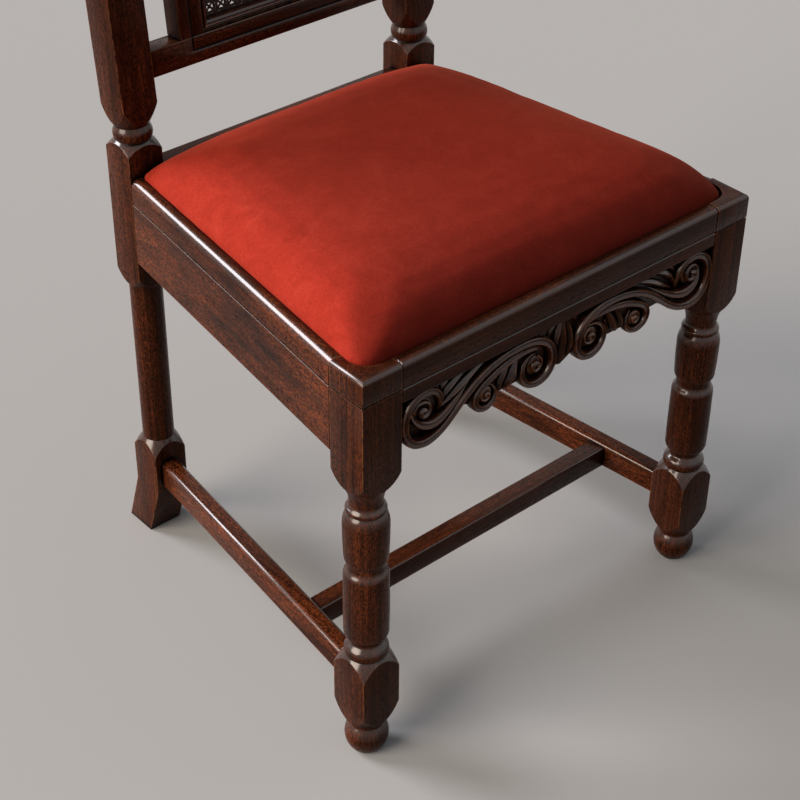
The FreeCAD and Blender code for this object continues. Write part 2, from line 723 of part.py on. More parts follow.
def panel_mouldings():
    """Four mitred strips around the cane, against the uprights and rails."""
    outer_x = s.muntin_inner
    inner_x = s.muntin_inner - s.moulding_width
    low = s.lower_rail_rise + s.lower_rail_height
    inner_low = low + s.moulding_width
    high = s.crest_rise
    inner_high = high - s.moulding_width
    front = -s.back_setback - s.moulding_setback
    outlines = {
        "bottom": [(-outer_x, low), (outer_x, low), (inner_x, inner_low), (-inner_x, inner_low)],
        "top": [(-inner_x, inner_high), (inner_x, inner_high), (outer_x, high), (-outer_x, high)],
        "left": [(-outer_x, low), (-inner_x, inner_low), (-inner_x, inner_high), (-outer_x, high)],
        "right": [(inner_x, inner_low), (outer_x, low), (outer_x, high), (inner_x, inner_high)],
    }
    inner_sides = {"bottom": 2, "top": 0, "left": 1, "right": 3}
    return [prism(f"panel_moulding_{place}", outline, front - s.moulding_depth, front, BACK,
                  rounded=(inner_sides[place],), radius=s.moulding_width / 2)
            for place, outline in outlines.items()]


def cane_panel():
    """The cane, a flat net of square gaps on a solid border, behind the mouldings."""
    half = value_of(s.muntin_inner - s.panel_gap)
    low = value_of(s.lower_rail_rise + s.lower_rail_height + s.panel_gap)
    high = value_of(s.crest_rise - s.panel_gap)
    gap = float(s.cane_hole)
    pitch = value_of(s.cane_hole + s.cane_bridge)
    border = float(s.cane_border)
    columns = int((2 * half - 2 * border + float(s.cane_bridge)) // pitch)
    rows = int((high - low - 2 * border + float(s.cane_bridge)) // pitch)
    first_x = -((columns - 1) * pitch) / 2
    first_y = (low + high) / 2 - ((rows - 1) * pitch) / 2

    def square(x, y, across, up):
        return Part.makePolygon([Vector(x - across, y - up, 0), Vector(x + across, y - up, 0),
                                 Vector(x + across, y + up, 0), Vector(x - across, y + up, 0),
                                 Vector(x - across, y - up, 0)])

    wires = [square(0, (low + high) / 2, half, (high - low) / 2)]
    for column in range(columns):
        for level in range(rows):
            wires.append(square(first_x + column * pitch, first_y + level * pitch, gap / 2, gap / 2))
    net = Part.Face(wires, "Part::FaceMakerBullseye").extrude(Vector(0, 0, float(s.cane_thickness)))
    back = value_of(-s.back_setback - s.moulding_setback - s.moulding_depth - s.cane_thickness)
    return formed("cane_panel", net, BACK * Placement(Vector(0, 0, back), Rotation()))


def corner_outline(side, place):
    """Plan of a corner block, from the rail it crosses to the side rail, notched round the leg or post."""
    if place == "front":
        inside = leg_inner
        face = s.rail_thickness
        shoulder = s.leg_block
        along = s.leg_block + s.brace
    else:
        inside = post_inner
        face = s.seat_depth - s.back_rail_ledge
        shoulder = s.seat_depth
        along = s.seat_depth - s.back_rail_ledge - s.brace
    points = [(inside, face), (inside - s.brace, face),
              (outer_at(along) - s.rail_thickness, along),
              (outer_at(shoulder) - s.rail_thickness, shoulder), (inside, shoulder)]
    return [(side * x, y) for x, y in points]


def corner_block(name, side, place):
    high = ledge - s.brace_drop
    return prism(f"corner_block_{place}_{name}", corner_outline(side, place), high - s.brace_height, high)


def screw(label, head_at, way):
    """A screw with its head at a point, driven through the block along the way and on into the rail."""
    frame = CHAIR * Placement(head_at, Rotation(Vector(0, 0, 1), way))
    shank = doc.addObject("Part::Cylinder", f"{label}_shank")
    shank.setExpression("Radius", text_of(s.screw_diameter / 2))
    shank.setExpression("Height", text_of(s.screw_bite + way.Length))
    head = doc.addObject("Part::Cylinder", f"{label}_head")
    head.setExpression("Radius", text_of(s.screw_head / 2))
    head.setExpression("Height", text_of(s.screw_head_height))
    shank.Placement = frame
    head.Placement = frame
    return fuse(label, [shank, head])


def corner_block_screws():
    """Two screws in each corner block, one square to each rail."""
    pieces = []
    height = value_of(ledge - s.brace_drop - s.brace_height / 2)
    for name, side in SIDES.items():
        for place in ("front", "rear"):
            points = [Vector(value_of(x), value_of(y), height) for x, y in corner_outline(side, place)]
            cross_end, side_end = points[1], points[2]
            near_cross = cross_end + (side_end - cross_end) * SCREW_SHARE
            near_side = side_end + (cross_end - side_end) * SCREW_SHARE
            to_cross = Vector(0, points[0].y - near_cross.y, 0)
            rail_x = side * (value_of(outer_at(near_side.y)) - float(s.rail_thickness))
            to_side = Vector(rail_x - near_side.x, 0, 0)
            pieces.append(screw(f"screw_{place}_{name}_cross", near_cross, to_cross))
            pieces.append(screw(f"screw_{place}_{name}_side", near_side, to_side))
    return group("corner_block_screws", pieces)


# The lift-out seat, from the ledge up
cover_low = ledge + s.seat_lift
frame_low = cover_low + s.cover_thickness
frame_high = frame_low + s.frame_thickness
webbing_high = frame_high + 2 * s.webbing_thickness
hessian_high = webbing_high + s.hessian_thickness
cover_rim = cover_low + s.cover_edge
core_inset = s.seat_gap + s.cover_thickness
crown_run = min(s.seat_depth - s.rim, s.rear_width - 2 * s.rim, key=float) * CROWN_RUN_SHARE


def crown_wires(extra):
    """Outlines of the crown, drawn in and lowered by the given extra."""
    return [seat_wire(value_of(s.seat_gap + crown_run * draw_in) + extra,
                      value_of(cover_rim + s.crown_height * rise) - extra) for rise, draw_in in CROWN_SHARES]


def cushion(extra, base):
    """A crowned solid from the base up."""
    wires = [wire for wire in crown_wires(extra) if wire.BoundBox.ZMin > base + float(s.seat_lift)]
    start = seat_wire(value_of(s.seat_gap) + extra, base)
    return Part.makeLoft([start] + wires, True, True)


def seat_frame():
    """Four boards of the seat's frame, the side boards between the front and back ones."""
    core = formed("seat_core", seat_prism(value_of(core_inset), value_of(frame_low), value_of(frame_high)))
    inset = s.rim + core_inset
    front = s.rim + core_inset
    back = s.seat_depth - core_inset
    front_in = front + s.frame_width
    back_in = back - s.frame_width

    def across(y):
        return outer_at(y) - inset

    outlines = {
        "front": [(-across(front), front), (across(front), front), (across(front_in), front_in),
                  (-across(front_in), front_in)],
        "back": [(-across(back_in), back_in), (across(back_in), back_in), (across(back), back),
                 (-across(back), back)],
    }
    for name, side in SIDES.items():
        outlines[name] = [(side * across(front_in), front_in), (side * across(back_in), back_in),
                          (side * (across(back_in) - s.frame_width), back_in),
                          (side * (across(front_in) - s.frame_width), front_in)]
    boards = []
    for place, outline in outlines.items():
        board = prism(f"seat_board_{place}", outline, frame_low, frame_high)
        boards.append(common(f"seat_frame_{place}", board, core))
    return boards


def seat_webbing():
    """Webbing straps in two layers over the frame's opening."""
    front = s.rim + core_inset + s.frame_width - s.webbing_lap
    back = s.seat_depth - core_inset - s.frame_width + s.webbing_lap
    half_back = outer_at(back) - s.rim - core_inset - s.frame_width + s.webbing_lap
    middle_y = (front + back) / 2
    straps = []
    half = s.webbing_width / 2
    middle_z = frame_high + s.webbing_thickness
    for number, place in enumerate((-1, 0, 1), start=1):
        x = place * half_back * STRAP_SHARE
        straps.append(block(f"strap_long_{number}", (x - half, front, frame_high),
                            (x + half, back, middle_z)))
        y = middle_y + place * (back - front) / 2 * STRAP_SHARE
        reach = outer_at(y + half) - s.rim - core_inset - s.frame_width + s.webbing_lap
        straps.append(block(f"strap_cross_{number}", (-reach, y - half, middle_z),
                            (reach, y + half, webbing_high)))
    return group("seat_webbing", straps)


def seat_cover():
    """The velvet: a crowned skin, turned under the frame's edge."""
    extra = value_of(s.cover_thickness)
    outer = formed("cover_outside", cushion(0, value_of(cover_low)))
    inner = formed("cover_inside", cushion(extra, value_of(frame_low)))
    turned = seat_prism(value_of(s.seat_gap + s.cover_turn), value_of(cover_low - s.overrun),
                        value_of(frame_high))
    hollow = cut("cover_hollow", outer, [inner])
    return cut("seat_cover", hollow, [formed("cover_opening", turned)])


def seat_stuffing():
    extra = value_of(s.cover_thickness + s.seat_lift)
    return formed("seat_stuffing", cushion(extra, value_of(hessian_high)))


def seat_hessian():
    inset = value_of(core_inset + s.hessian_inset)
    return formed("seat_hessian", seat_prism(inset, value_of(webbing_high), value_of(hessian_high)))


def cover_tacks():
    """Tacks through the turned-under velvet into the frame's boards."""
    inset = value_of(s.seat_gap + s.tack_inset)
    line = seat_wire(inset, value_of(cover_low))
    count = int(line.Length // float(s.tack_pitch))
    tacks = []
    for number, point in enumerate(line.discretize(count + 1)[:-1], start=1):
        head = doc.addObject("Part::Cylinder", f"tack_head_{number}")
        head.setExpression("Radius", text_of(s.tack_head / 2))
        head.setExpression("Height", text_of(s.tack_head_height))
        head.Placement = CHAIR * Placement(point - Vector(0, 0, float(s.tack_head_height)), Rotation())
        shank = doc.addObject("Part::Cylinder", f"tack_shank_{number}")
        shank.setExpression("Radius", text_of(s.tack_diameter / 2))
        shank.setExpression("Height", text_of(s.tack_length))
        shank.Placement = CHAIR * Placement(point - Vector(0, 0, float(s.tack_head_height)), Rotation())
        tacks.append(fuse(f"tack_{number}", [head, shank]))
    return group("cover_tacks", tacks)


nodes = []
for side_name, sign in SIDES.items():
    nodes.append(front_leg(side_name, sign))
    nodes.append(back_post(side_name, sign))
    nodes.append(side_seat_rail(side_name, sign))
    nodes.append(side_stretcher(side_name, sign))
    nodes.append(back_muntin(side_name, sign))
    nodes.append(corner_block(side_name, sign, "front"))
    nodes.append(corner_block(side_name, sign, "rear"))
nodes += [front_seat_rail(), back_seat_rail(), cross_stretcher(), lower_back_rail(), crest_rail(),
          cane_panel()]
nodes += panel_mouldings()
nodes.append(corner_block_screws())
nodes += seat_frame()
nodes += [seat_webbing(), seat_hessian(), seat_stuffing(), seat_cover(), cover_tacks()]
doc.recompute()

for item in doc.Objects:
    if "Invalid" in item.State or "Error" in item.State:
        raise RuntimeError(f"{item.Label} failed: {item.State}")
for node in nodes:
    if node.Shape.isNull() or not node.Shape.isValid():
        raise RuntimeError(f"{node.Label} has no valid shape")

os.makedirs("parts", exist_ok=True)
for node in nodes:
    node.Shape.exportStep(f"parts/{node.Label}.step")
    print(node.Label, len(node.Shape.Solids), round(node.Shape.Volume))
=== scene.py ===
"""Oak dining chair: stained and waxed wood, a carved apron, a caned back and a velvet lift-out seat."""
import math

import bmesh
import bpy
from mathutils import Matrix, Vector


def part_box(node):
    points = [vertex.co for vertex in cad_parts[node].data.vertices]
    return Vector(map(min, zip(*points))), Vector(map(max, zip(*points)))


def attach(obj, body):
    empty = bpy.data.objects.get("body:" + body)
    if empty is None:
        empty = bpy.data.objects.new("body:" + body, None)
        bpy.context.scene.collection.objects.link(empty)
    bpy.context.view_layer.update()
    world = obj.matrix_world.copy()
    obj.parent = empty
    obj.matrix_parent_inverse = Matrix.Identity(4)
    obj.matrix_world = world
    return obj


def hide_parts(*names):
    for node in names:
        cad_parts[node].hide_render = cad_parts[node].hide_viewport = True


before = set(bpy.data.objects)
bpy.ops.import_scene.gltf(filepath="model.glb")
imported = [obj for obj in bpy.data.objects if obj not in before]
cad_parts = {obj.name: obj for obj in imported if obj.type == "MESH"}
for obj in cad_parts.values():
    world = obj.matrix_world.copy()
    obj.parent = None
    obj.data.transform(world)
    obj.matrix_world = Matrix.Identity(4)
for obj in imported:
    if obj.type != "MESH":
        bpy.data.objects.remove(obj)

MM = 0.001
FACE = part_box("front_seat_rail")[0].y   # plane of the chair's front
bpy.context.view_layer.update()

# Sizes that several pieces share, in millimetres
HALF_FRONT = 243        # from the chair's middle to the outer faces of the front legs
LEG = 44                # square of a front leg
POST_FACE = 404         # from the chair's front to the faces of the back posts
RUN_IN = 46             # how far a side rail closes in on its way from leg to post
RAIL_TOP = 456
RAIL_THICK = 24
GROUND = 8              # the carving's sunk ground, behind the chair's front
BACK_START = 505        # height on the posts' faces where the back starts to lean
RAKE = 0.0963           # how far the back leans for each step up
PANEL_HALF = 92         # half the width over the mouldings round the cane
PANEL_LOW = 70          # lower and upper edge of those mouldings, measured up the leaning back
PANEL_HIGH = 455


# Tools of the workshop
def at(x, y, z):
    """A place in metres, from millimetres beside the middle, behind the chair's front and above the floor."""
    return Vector((x * MM, FACE + y * MM, z * MM))


def linear(code):
    """An sRGB hex colour as linear red, green, blue and alpha."""
    parts = [int(code[start:start + 2], 16) / 255 for start in (1, 3, 5)]
    parts = [part / 12.92 if part <= 0.04045 else ((part + 0.055) / 1.055) ** 2.4 for part in parts]
    return (*parts, 1.0)


def add(tree, kind, inputs=(), stops=(), **settings):
    """Adds a node with its settings and a ramp's stops, and sets or links its inputs."""
    node = tree.nodes.new(kind)
    for name, value in settings.items():
        setattr(node, name, value)
    for number, (place, colour) in enumerate(stops):
        points = node.color_ramp.elements
        point = points[number] if number < len(points) else points.new(place)
        point.position = place
        point.color = colour if isinstance(colour, tuple) else (colour, colour, colour, 1)
    for name, value in dict(inputs).items():
        if isinstance(value, bpy.types.NodeSocket):
            tree.links.new(value, node.inputs[name])
        else:
            node.inputs[name].default_value = value
    return node


def new_material(name):
    material = bpy.data.materials.new(name)
    material.use_nodes = True
    tree = material.node_tree
    tree.nodes.clear()
    surface = add(tree, "ShaderNodeBsdfPrincipled")
    add(tree, "ShaderNodeOutputMaterial", {"Surface": surface.outputs[0]})
    return material, tree, surface


def put_in_scene(name, data):
    piece = bpy.data.objects.new(name, data)
    bpy.context.scene.collection.objects.link(piece)
    return piece


def clear_selection():
    bpy.ops.object.select_all(action="DESELECT")


def select_only(piece):
    clear_selection()
    piece.select_set(True)
    bpy.context.view_layer.objects.active = piece


def edit(piece):
    select_only(piece)
    bpy.ops.object.mode_set(mode="EDIT")
    bpy.ops.mesh.select_all(action="DESELECT")


def done():
    bpy.ops.object.mode_set(mode="OBJECT")


def pick(piece, faces=None, edges=None):
    """Selects the faces or edges of the piece in edit mode that pass a test, and nothing else."""
    bpy.ops.mesh.select_mode(type="FACE" if faces else "EDGE")
    bpy.ops.mesh.select_all(action="DESELECT")
    mesh = bmesh.from_edit_mesh(piece.data)
    mesh.normal_update()
    for item in mesh.faces if faces else mesh.edges:
        item.select_set(bool((faces or edges)(item)))
    mesh.select_flush_mode()
    bmesh.update_edit_mesh(piece.data)


def turn_out(piece):
    """Makes all faces of the piece point outwards."""
    edit(piece)
    bpy.ops.mesh.select_all(action="SELECT")
    bpy.ops.mesh.normals_make_consistent(inside=False)
    done()


def apply_modifiers(piece):
    select_only(piece)
    for modifier in list(piece.modifiers):
        bpy.ops.object.modifier_apply(modifier=modifier.name)


def join(name, pieces):
    clear_selection()
    for piece in pieces:
        piece.select_set(True)
    bpy.context.view_layer.objects.active = pieces[0]
    bpy.ops.object.join()
    pieces[0].name = name
    return pieces[0]


def settle(piece):
    """Puts the piece's place, turn and size into its mesh."""
    select_only(piece)
    bpy.ops.object.transform_apply(location=True, rotation=True, scale=True)


def smooth(piece, angle=35):
    select_only(piece)
    bpy.ops.object.shade_smooth_by_angle(angle=math.radians(angle))


def loop_of(points, fill):
    """A closed ring through the points, filled or open."""
    clear_selection()
    bpy.ops.mesh.primitive_circle_add(vertices=len(points), radius=1, fill_type=fill)
    piece = bpy.context.object
    for vertex, point in zip(piece.data.vertices, points):
        vertex.co = point
    return piece


def board(name, outline, depth):
    """A flat piece: a filled ring of points, pushed out along a depth."""
    piece = loop_of(outline, "NGON")
    piece.name = name
    edit(piece)
    bpy.ops.mesh.select_all(action="SELECT")
    bpy.ops.mesh.extrude_region_move(TRANSFORM_OT_translate={"value": depth})
    done()
    turn_out(piece)
    return piece


def cells(across, along):
    """A flat square of cells, one metre wide, to be bent to a piece's shape."""
    clear_selection()
    bpy.ops.mesh.primitive_grid_add(x_subdivisions=across, y_subdivisions=along, size=1)
    return bpy.context.object


def thicken(piece, thickness):
    skin = piece.modifiers.new("thickness", "SOLIDIFY")
    skin.thickness = thickness * MM
    skin.offset = 0


def soften_edges(piece, width):
    """Edges rubbed round by use."""
    weld = piece.modifiers.new("one skin", "WELD")
    weld.merge_threshold = 0.02 * MM
    bevel = piece.modifiers.new("rubbed edges", "BEVEL")
    bevel.width = width * MM
    bevel.segments = 3
    bevel.limit_method = "ANGLE"
    bevel.angle_limit = math.radians(32)
    bevel.use_clamp_overlap = True
    bevel.harden_normals = True
    bevel.miter_outer = "MITER_ARC"


def dress(piece, material):
    piece.data.materials.clear()
    piece.data.materials.append(material)


# Finishes
def stained_oak(name, grain, worn):
    """Oak, stained black-brown and waxed: dark and red lines along the grain, fine dark pores, redder where
    the stain is thin, black in corners and creases with old wax and dust and with painted shade, pale brown
    on rubbed edges, and polished where roundings face up to hands. Pores are drawn about twice as coarse as
    they are, so that they show."""
    material, tree, surface = new_material(name)
    place = add(tree, "ShaderNodeTexCoord").outputs["Object"]
    figure = {}
    # patterns: millimetres across and along the grain, detail, roughness, and what they mean
    for part, across, along, detail, rough, stops in (
            ("rings", 7, 190, 4, 0.55, [(0.30, linear("#180a06")), (0.48, linear("#2b140b")),
                                        (0.60, linear("#3c1d10")), (0.75, linear("#1f0e08"))]),
            ("lines", 2.0, 150, 3, 0.65, [(0.36, 0.5), (0.62, 1.25)]),
            ("patches", 34, 170, 3, 0.55, [(0.32, 0.1 * worn), (0.62, worn)]),
            ("flecks", 1.4, 3.2, 2, 0.7, [(0.42, 0.08), (0.60, 1.0)]),
            ("pores", 0.9, 6, 2, 0.6, [(0.33, 0.85), (0.45, 0.0)]),
            ("chips", 9, 9, 4, 0.7, [(0.38, linear("#120806")), (0.45, linear("#7a4527")),
                                     (0.62, linear("#b57142"))]),
            ("wax", 9, 60, 4, 0.55, [(0.3, 0.22), (0.7, 0.36)]),
            ("ripple", 11, 70, 3, 0.55, [(0.0, 0.0), (1.0, 1.0)])):
        scale = [1 / (across * MM)] * 3
        scale["XYZ".index(grain)] = 1 / (along * MM)
        drawn_out = add(tree, "ShaderNodeMapping", {"Vector": place, "Scale": scale})
        noise = add(tree, "ShaderNodeTexNoise", {"Vector": drawn_out.outputs[0], "Scale": 1.0,
                                                 "Detail": detail, "Roughness": rough})
        figure[part] = add(tree, "ShaderNodeValToRGB", {"Fac": noise.outputs["Fac"]}, stops=stops).outputs[0]
    # hollows and thin edges, by the wood that stands round them: millimetres, samples, looking inwards; the
    # two outward reaches paint shade into hollows and creases, along with old wax and dust
    for part, reach, samples, inwards, stops in (
            ("dust_and_painted_shade", 9, 6, False, [(0.42, 0.95), (0.93, 0.0)]),
            ("painted_crevice_shade", 3, 6, False, [(0.60, 0.95), (0.95, 0.0)]),
            ("rubbed", 2.5, 5, True, [(0.50, 0.9), (0.80, 0.0)])):
        around = add(tree, "ShaderNodeAmbientOcclusion", {"Distance": reach * MM}, samples=samples,
                     inside=inwards, only_local=inwards)
        figure[part] = add(tree, "ShaderNodeValToRGB", {"Fac": around.outputs["AO"]}, stops=stops).outputs[0]
    thin_stain = add(tree, "ShaderNodeMath", {0: figure["patches"], 1: figure["flecks"]},
                     operation="MULTIPLY")
    colour = figure["rings"]
    for share, over, way in ((thin_stain.outputs[0], linear("#8a4422"), "MIX"),
                             (1.0, figure["lines"], "MULTIPLY"),
                             (figure["pores"], linear("#0d0504"), "MIX"),
                             (figure["rubbed"], figure["chips"], "MIX"),
                             # painted shade: corners and tight creases turn near black where wood closes
                             # round them, partly old wax and dust
                             (figure["dust_and_painted_shade"], linear("#070303"), "MIX"),
                             (figure["painted_crevice_shade"], linear("#060303"), "MIX")):
        colour = add(tree, "ShaderNodeMix", {"Factor": share, "A": colour, "B": over}, data_type="RGBA",
                     blend_type=way).outputs["Result"]
    tree.links.new(colour, surface.inputs["Base Color"])
    dull = add(tree, "ShaderNodeMath", {0: figure["wax"], 1: figure["pores"]}, operation="MAXIMUM")
    tree.links.new(dull.outputs[0], surface.inputs["Roughness"])
    pore_dent = add(tree, "ShaderNodeBump", {"Strength": 0.45, "Distance": 0.2 * MM,
                                             "Height": figure["pores"]}, invert=True)
    ripple = add(tree, "ShaderNodeBump", {"Strength": 0.3, "Distance": 0.6 * MM, "Height": figure["ripple"],
                                          "Normal": pore_dent.outputs[0]})
    tree.links.new(ripple.outputs[0], surface.inputs["Normal"])
    facing = add(tree, "ShaderNodeSeparateXYZ", {0: add(tree, "ShaderNodeNewGeometry").outputs["Normal"]})
    polish = add(tree, "ShaderNodeValToRGB", {"Fac": facing.outputs["Z"]},
                 stops=[(0.1, 0.0), (0.6, 1.0), (0.88, 1.0), (0.98, 0.2)])
    tree.links.new(polish.outputs[0], surface.inputs["Coat Weight"])
    surface.inputs["Coat Roughness"].default_value = 0.2
    surface.inputs["Coat IOR"].default_value = 1.7
    surface.inputs["Specular IOR Level"].default_value = 0.1
    surface.inputs["Specular Tint"].default_value = linear("#ffdcc8")
    return material


def rust_velvet():
    """Cotton velvet: a short upright pile with painted light and shade, paler on slopes that face back and
    left and darker on slopes that face front and right, and faintly mottled where the nap is brushed two
    ways."""
    material, tree, surface = new_material("cotton_velvet_rust")
    place = add(tree, "ShaderNodeTexCoord").outputs["Object"]
    brushed = add(tree, "ShaderNodeTexNoise", {"Vector": place, "Scale": 1 / (30 * MM), "Detail": 6.0,
                                               "Roughness": 0.78, "Distortion": 0.4}).outputs["Fac"]
    nap = add(tree, "ShaderNodeValToRGB", {"Fac": brushed}, stops=[
        (0.30, linear("#93281a")), (0.52, linear("#9f2d1f")), (0.75, linear("#ab3728"))]).outputs[0]
    pile = add(tree, "ShaderNodeTexNoise", {"Vector": place, "Scale": 1 / (2.2 * MM), "Detail": 4.0,
                                            "Roughness": 0.75}).outputs["Fac"]
    speck = add(tree, "ShaderNodeValToRGB", {"Fac": pile}, stops=[(0.30, 0.78), (0.70, 1.12)]).outputs[0]
    painted_light_from = (-0.5, 0.86, 0)                   # direction of the painted light: slopes facing back and left are painted paler
    painted_light_facing = add(tree, "ShaderNodeVectorMath", {0: add(tree, "ShaderNodeNewGeometry").outputs["Normal"],
                                              1: painted_light_from}, operation="DOT_PRODUCT").outputs["Value"]
    painted_light_share = add(tree, "ShaderNodeMath", {0: painted_light_facing, 1: 0.5}, operation="ADD").outputs[0]
    # painted light and shade: the colour is darkened on slopes that face front and right and lightened on
    # those that face back and left
    depth = add(tree, "ShaderNodeValToRGB", {"Fac": painted_light_share}, stops=[
        (0.05, 0.42), (0.48, 0.86), (0.75, 1.25)]).outputs[0]
    colour = nap
    for shade in (speck, depth):
        colour = add(tree, "ShaderNodeMix", {"Factor": 1.0, "A": colour, "B": shade}, data_type="RGBA",
                     blend_type="MULTIPLY").outputs["Result"]
    tree.links.new(colour, surface.inputs["Base Color"])
    tufts = add(tree, "ShaderNodeBump", {"Strength": 0.3, "Distance": 0.5 * MM, "Height": pile})
    tree.links.new(tufts.outputs[0], surface.inputs["Normal"])
    surface.inputs["Roughness"].default_value = 0.9
    surface.inputs["Specular IOR Level"].default_value = 0.1
    surface.inputs["Sheen Weight"].default_value = 0.38
    surface.inputs["Sheen Roughness"].default_value = 0.4
    surface.inputs["Sheen Tint"].default_value = linear("#ff7f5f")
    return material


def plain_timber():
    """Beech, unpolished and browned with age: fine pale-brown grain with dust."""
    material, tree, surface = new_material("aged_beech")
    place = add(tree, "ShaderNodeTexCoord").outputs["Object"]
    scale = [1 / (size * MM) for size in (60, 4, 4)]
    drawn_out = add(tree, "ShaderNodeMapping", {"Vector": place, "Scale": scale}).outputs[0]
    grain = add(tree, "ShaderNodeTexNoise", {"Vector": drawn_out, "Scale": 1.0, "Detail": 5.0,
                                             "Roughness": 0.65}).outputs["Fac"]
    colour = add(tree, "ShaderNodeValToRGB", {"Fac": grain}, stops=[
        (0.3, linear("#6d4a2c")), (0.55, linear("#9a7149")), (0.75, linear("#7d5635"))])
    tree.links.new(colour.outputs[0], surface.inputs["Base Color"])
    dents = add(tree, "ShaderNodeBump", {"Strength": 0.4, "Distance": 0.4 * MM, "Height": grain})
    tree.links.new(dents.outputs[0], surface.inputs["Normal"])
    surface.inputs["Roughness"].default_value = 0.7
    return material


def stained_cane():
    """Split cane, stained dark brown: a low gloss, paler where the stain has worn."""
    material, tree, surface = new_material("stained_cane")
    place = add(tree, "ShaderNodeTexCoord").outputs["Object"]
    patch = add(tree, "ShaderNodeTexNoise", {"Vector": place, "Scale": 1 / (18 * MM), "Detail": 4.0,
                                             "Roughness": 0.7}).outputs["Fac"]
    colour = add(tree, "ShaderNodeValToRGB", {"Fac": patch}, stops=[
        (0.3, linear("#180c07")), (0.55, linear("#2e1a0e")), (0.78, linear("#4d3019"))])
    tree.links.new(colour.outputs[0], surface.inputs["Base Color"])
    lines = add(tree, "ShaderNodeBump", {"Strength": 0.3, "Distance": 0.2 * MM, "Height": patch})
    tree.links.new(lines.outputs[0], surface.inputs["Normal"])
    surface.inputs["Roughness"].default_value = 0.4
    surface.inputs["Specular IOR Level"].default_value = 0.3
    return material


def woven(name, dark, light, thread):
    """Jute in a plain weave, dull and hairy: threads over and under each other, spaced in millimetres."""
    material, tree, surface = new_material(name)
    place = add(tree, "ShaderNodeTexCoord").outputs["Object"]
    bands = 3.2                             # that a wave of scale 1 draws over a metre
    waves = [add(tree, "ShaderNodeTexWave", {"Vector": place, "Scale": 1 / (thread * MM) / bands,
                                             "Distortion": 0.8, "Detail": 2.0, "Detail Scale": 2.0},
                 bands_direction=way).outputs["Fac"] for way in ("X", "Y")]
    cross = add(tree, "ShaderNodeMath", {0: waves[0], 1: waves[1]}, operation="MULTIPLY").outputs[0]
    colour = add(tree, "ShaderNodeValToRGB", {"Fac": cross}, stops=[
        (0.05, linear(dark)), (0.6, linear(light))])
    tree.links.new(colour.outputs[0], surface.inputs["Base Color"])
    threads = add(tree, "ShaderNodeBump", {"Strength": 0.7, "Distance": 0.6 * MM, "Height": cross})
    tree.links.new(threads.outputs[0], surface.inputs["Normal"])
    surface.inputs["Roughness"].default_value = 0.92
    return material


def old_steel(name, colour):
    """Steel, dulled and spotted with rust."""
    material, tree, surface = new_material(name)
    place = add(tree, "ShaderNodeTexCoord").outputs["Object"]
    spots = add(tree, "ShaderNodeTexNoise", {"Vector": place, "Scale": 1 / (2.5 * MM), "Detail": 4.0,
                                             "Roughness": 0.7}).outputs["Fac"]
    rust = add(tree, "ShaderNodeValToRGB", {"Fac": spots}, stops=[
        (0.40, linear(colour)), (0.68, linear("#5b3a26"))])
    tree.links.new(rust.outputs[0], surface.inputs["Base Color"])
    dull = add(tree, "ShaderNodeValToRGB", {"Fac": spots}, stops=[(0.40, 0.35), (0.68, 0.75)])
    tree.links.new(dull.outputs[0], surface.inputs["Roughness"])
    surface.inputs["Metallic"].default_value = 1.0
    return material


# stained oak for each way that the grain runs, with the share of it that is worn
oak = {axis: stained_oak(f"stained_oak_{word}", axis, worn)
       for axis, word, worn in (("X", "across", 0.5), ("Y", "along", 1.0), ("Z", "upright", 0.55))}
velvet = rust_velvet()
beech = plain_timber()
cane = stained_cane()
jute = woven("jute_hessian", "#5d4527", "#a98a5c", 1.6)
strapping = woven("jute_webbing", "#4a3a2a", "#b09a78", 2.4)
screw_steel = old_steel("blued_steel_screws", "#6c6a68")
tack_steel = old_steel("blued_steel_tacks", "#3a3b40")


# Woodwork straight from the frame
# Way that the grain runs in the pieces where it isn't across the chair
GRAIN = {"front_leg": "Z", "back_post": "Z", "back_muntin": "Z", "panel_moulding_left": "Z",
         "panel_moulding_right": "Z", "side_seat_rail": "Y", "side_stretcher": "Y"}
# Pieces inside the chair, which were never stained
PLAIN = ("corner_block_front", "corner_block_rear", "seat_frame")
PLAIN_ROUND = 1.2       # how far edges are rubbed round, in millimetres
SHOW_ROUND = 1.3
STRETCHER_ROUND = 4

for name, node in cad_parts.items():
    if name == "corner_block_screws":
        dress(node, screw_steel)
    elif name == "cover_tacks":
        dress(node, tack_steel)
    elif name.startswith(PLAIN):
        dress(node, beech)
        soften_edges(node, PLAIN_ROUND)
    else:
        grain = next((axis for start, axis in GRAIN.items() if name.startswith(start)), "X")
        dress(node, oak[grain])
        soften_edges(node, STRETCHER_ROUND if "stretcher" in name else SHOW_ROUND)
    for face in node.data.polygons:
        face.use_smooth = True


# Seat rails and the carved apron
SIDE_LOW = 361          # lower edge of a side rail
STRIP_LOW = 415         # lower edge of the front rail's plain strip
SIDE_ROUND = 8.5        # round of a rail's upper edge, worn on the sides
FRONT_ROUND = 5
SEAT_LIP = 13           # width of a rail's top outside the rebate that the seat lies in
REBATE = 432
ARRIS = 1.5             # broken lower edge of a rail, and the middle of its round
ARRIS_MID = 0.4
INNER_ARRIS = 0.8       # broken upper edge beside the seat
FLAT = 2.3              # where a rail's flat face starts, above its lower edge
SEAM = 0.5              # open joint between a rail's end and the leg or post
EASE = 0.9              # broken edge of a rail's end
APRON_TUCK = 0.5        # the apron's board runs up behind the strip
APRON_ROUND = 0.8
# Scratched line in a rail's face with its worn lower lip, as depth and height: fine in front, deeper beside
FINE_LINE = [(0, 427.8), (0, 428.4), (0.5, 429.3), (1.6, 429.7), (1.6, 430.7), (0.2, 430.9), (0, 431.3)]
WORN_LINE = [(0, 427.8), (0, 428.7), (0.5, 429.3), (2.3, 429.6), (2.3, 430.8), (0.3, 431), (0, 431.4)]
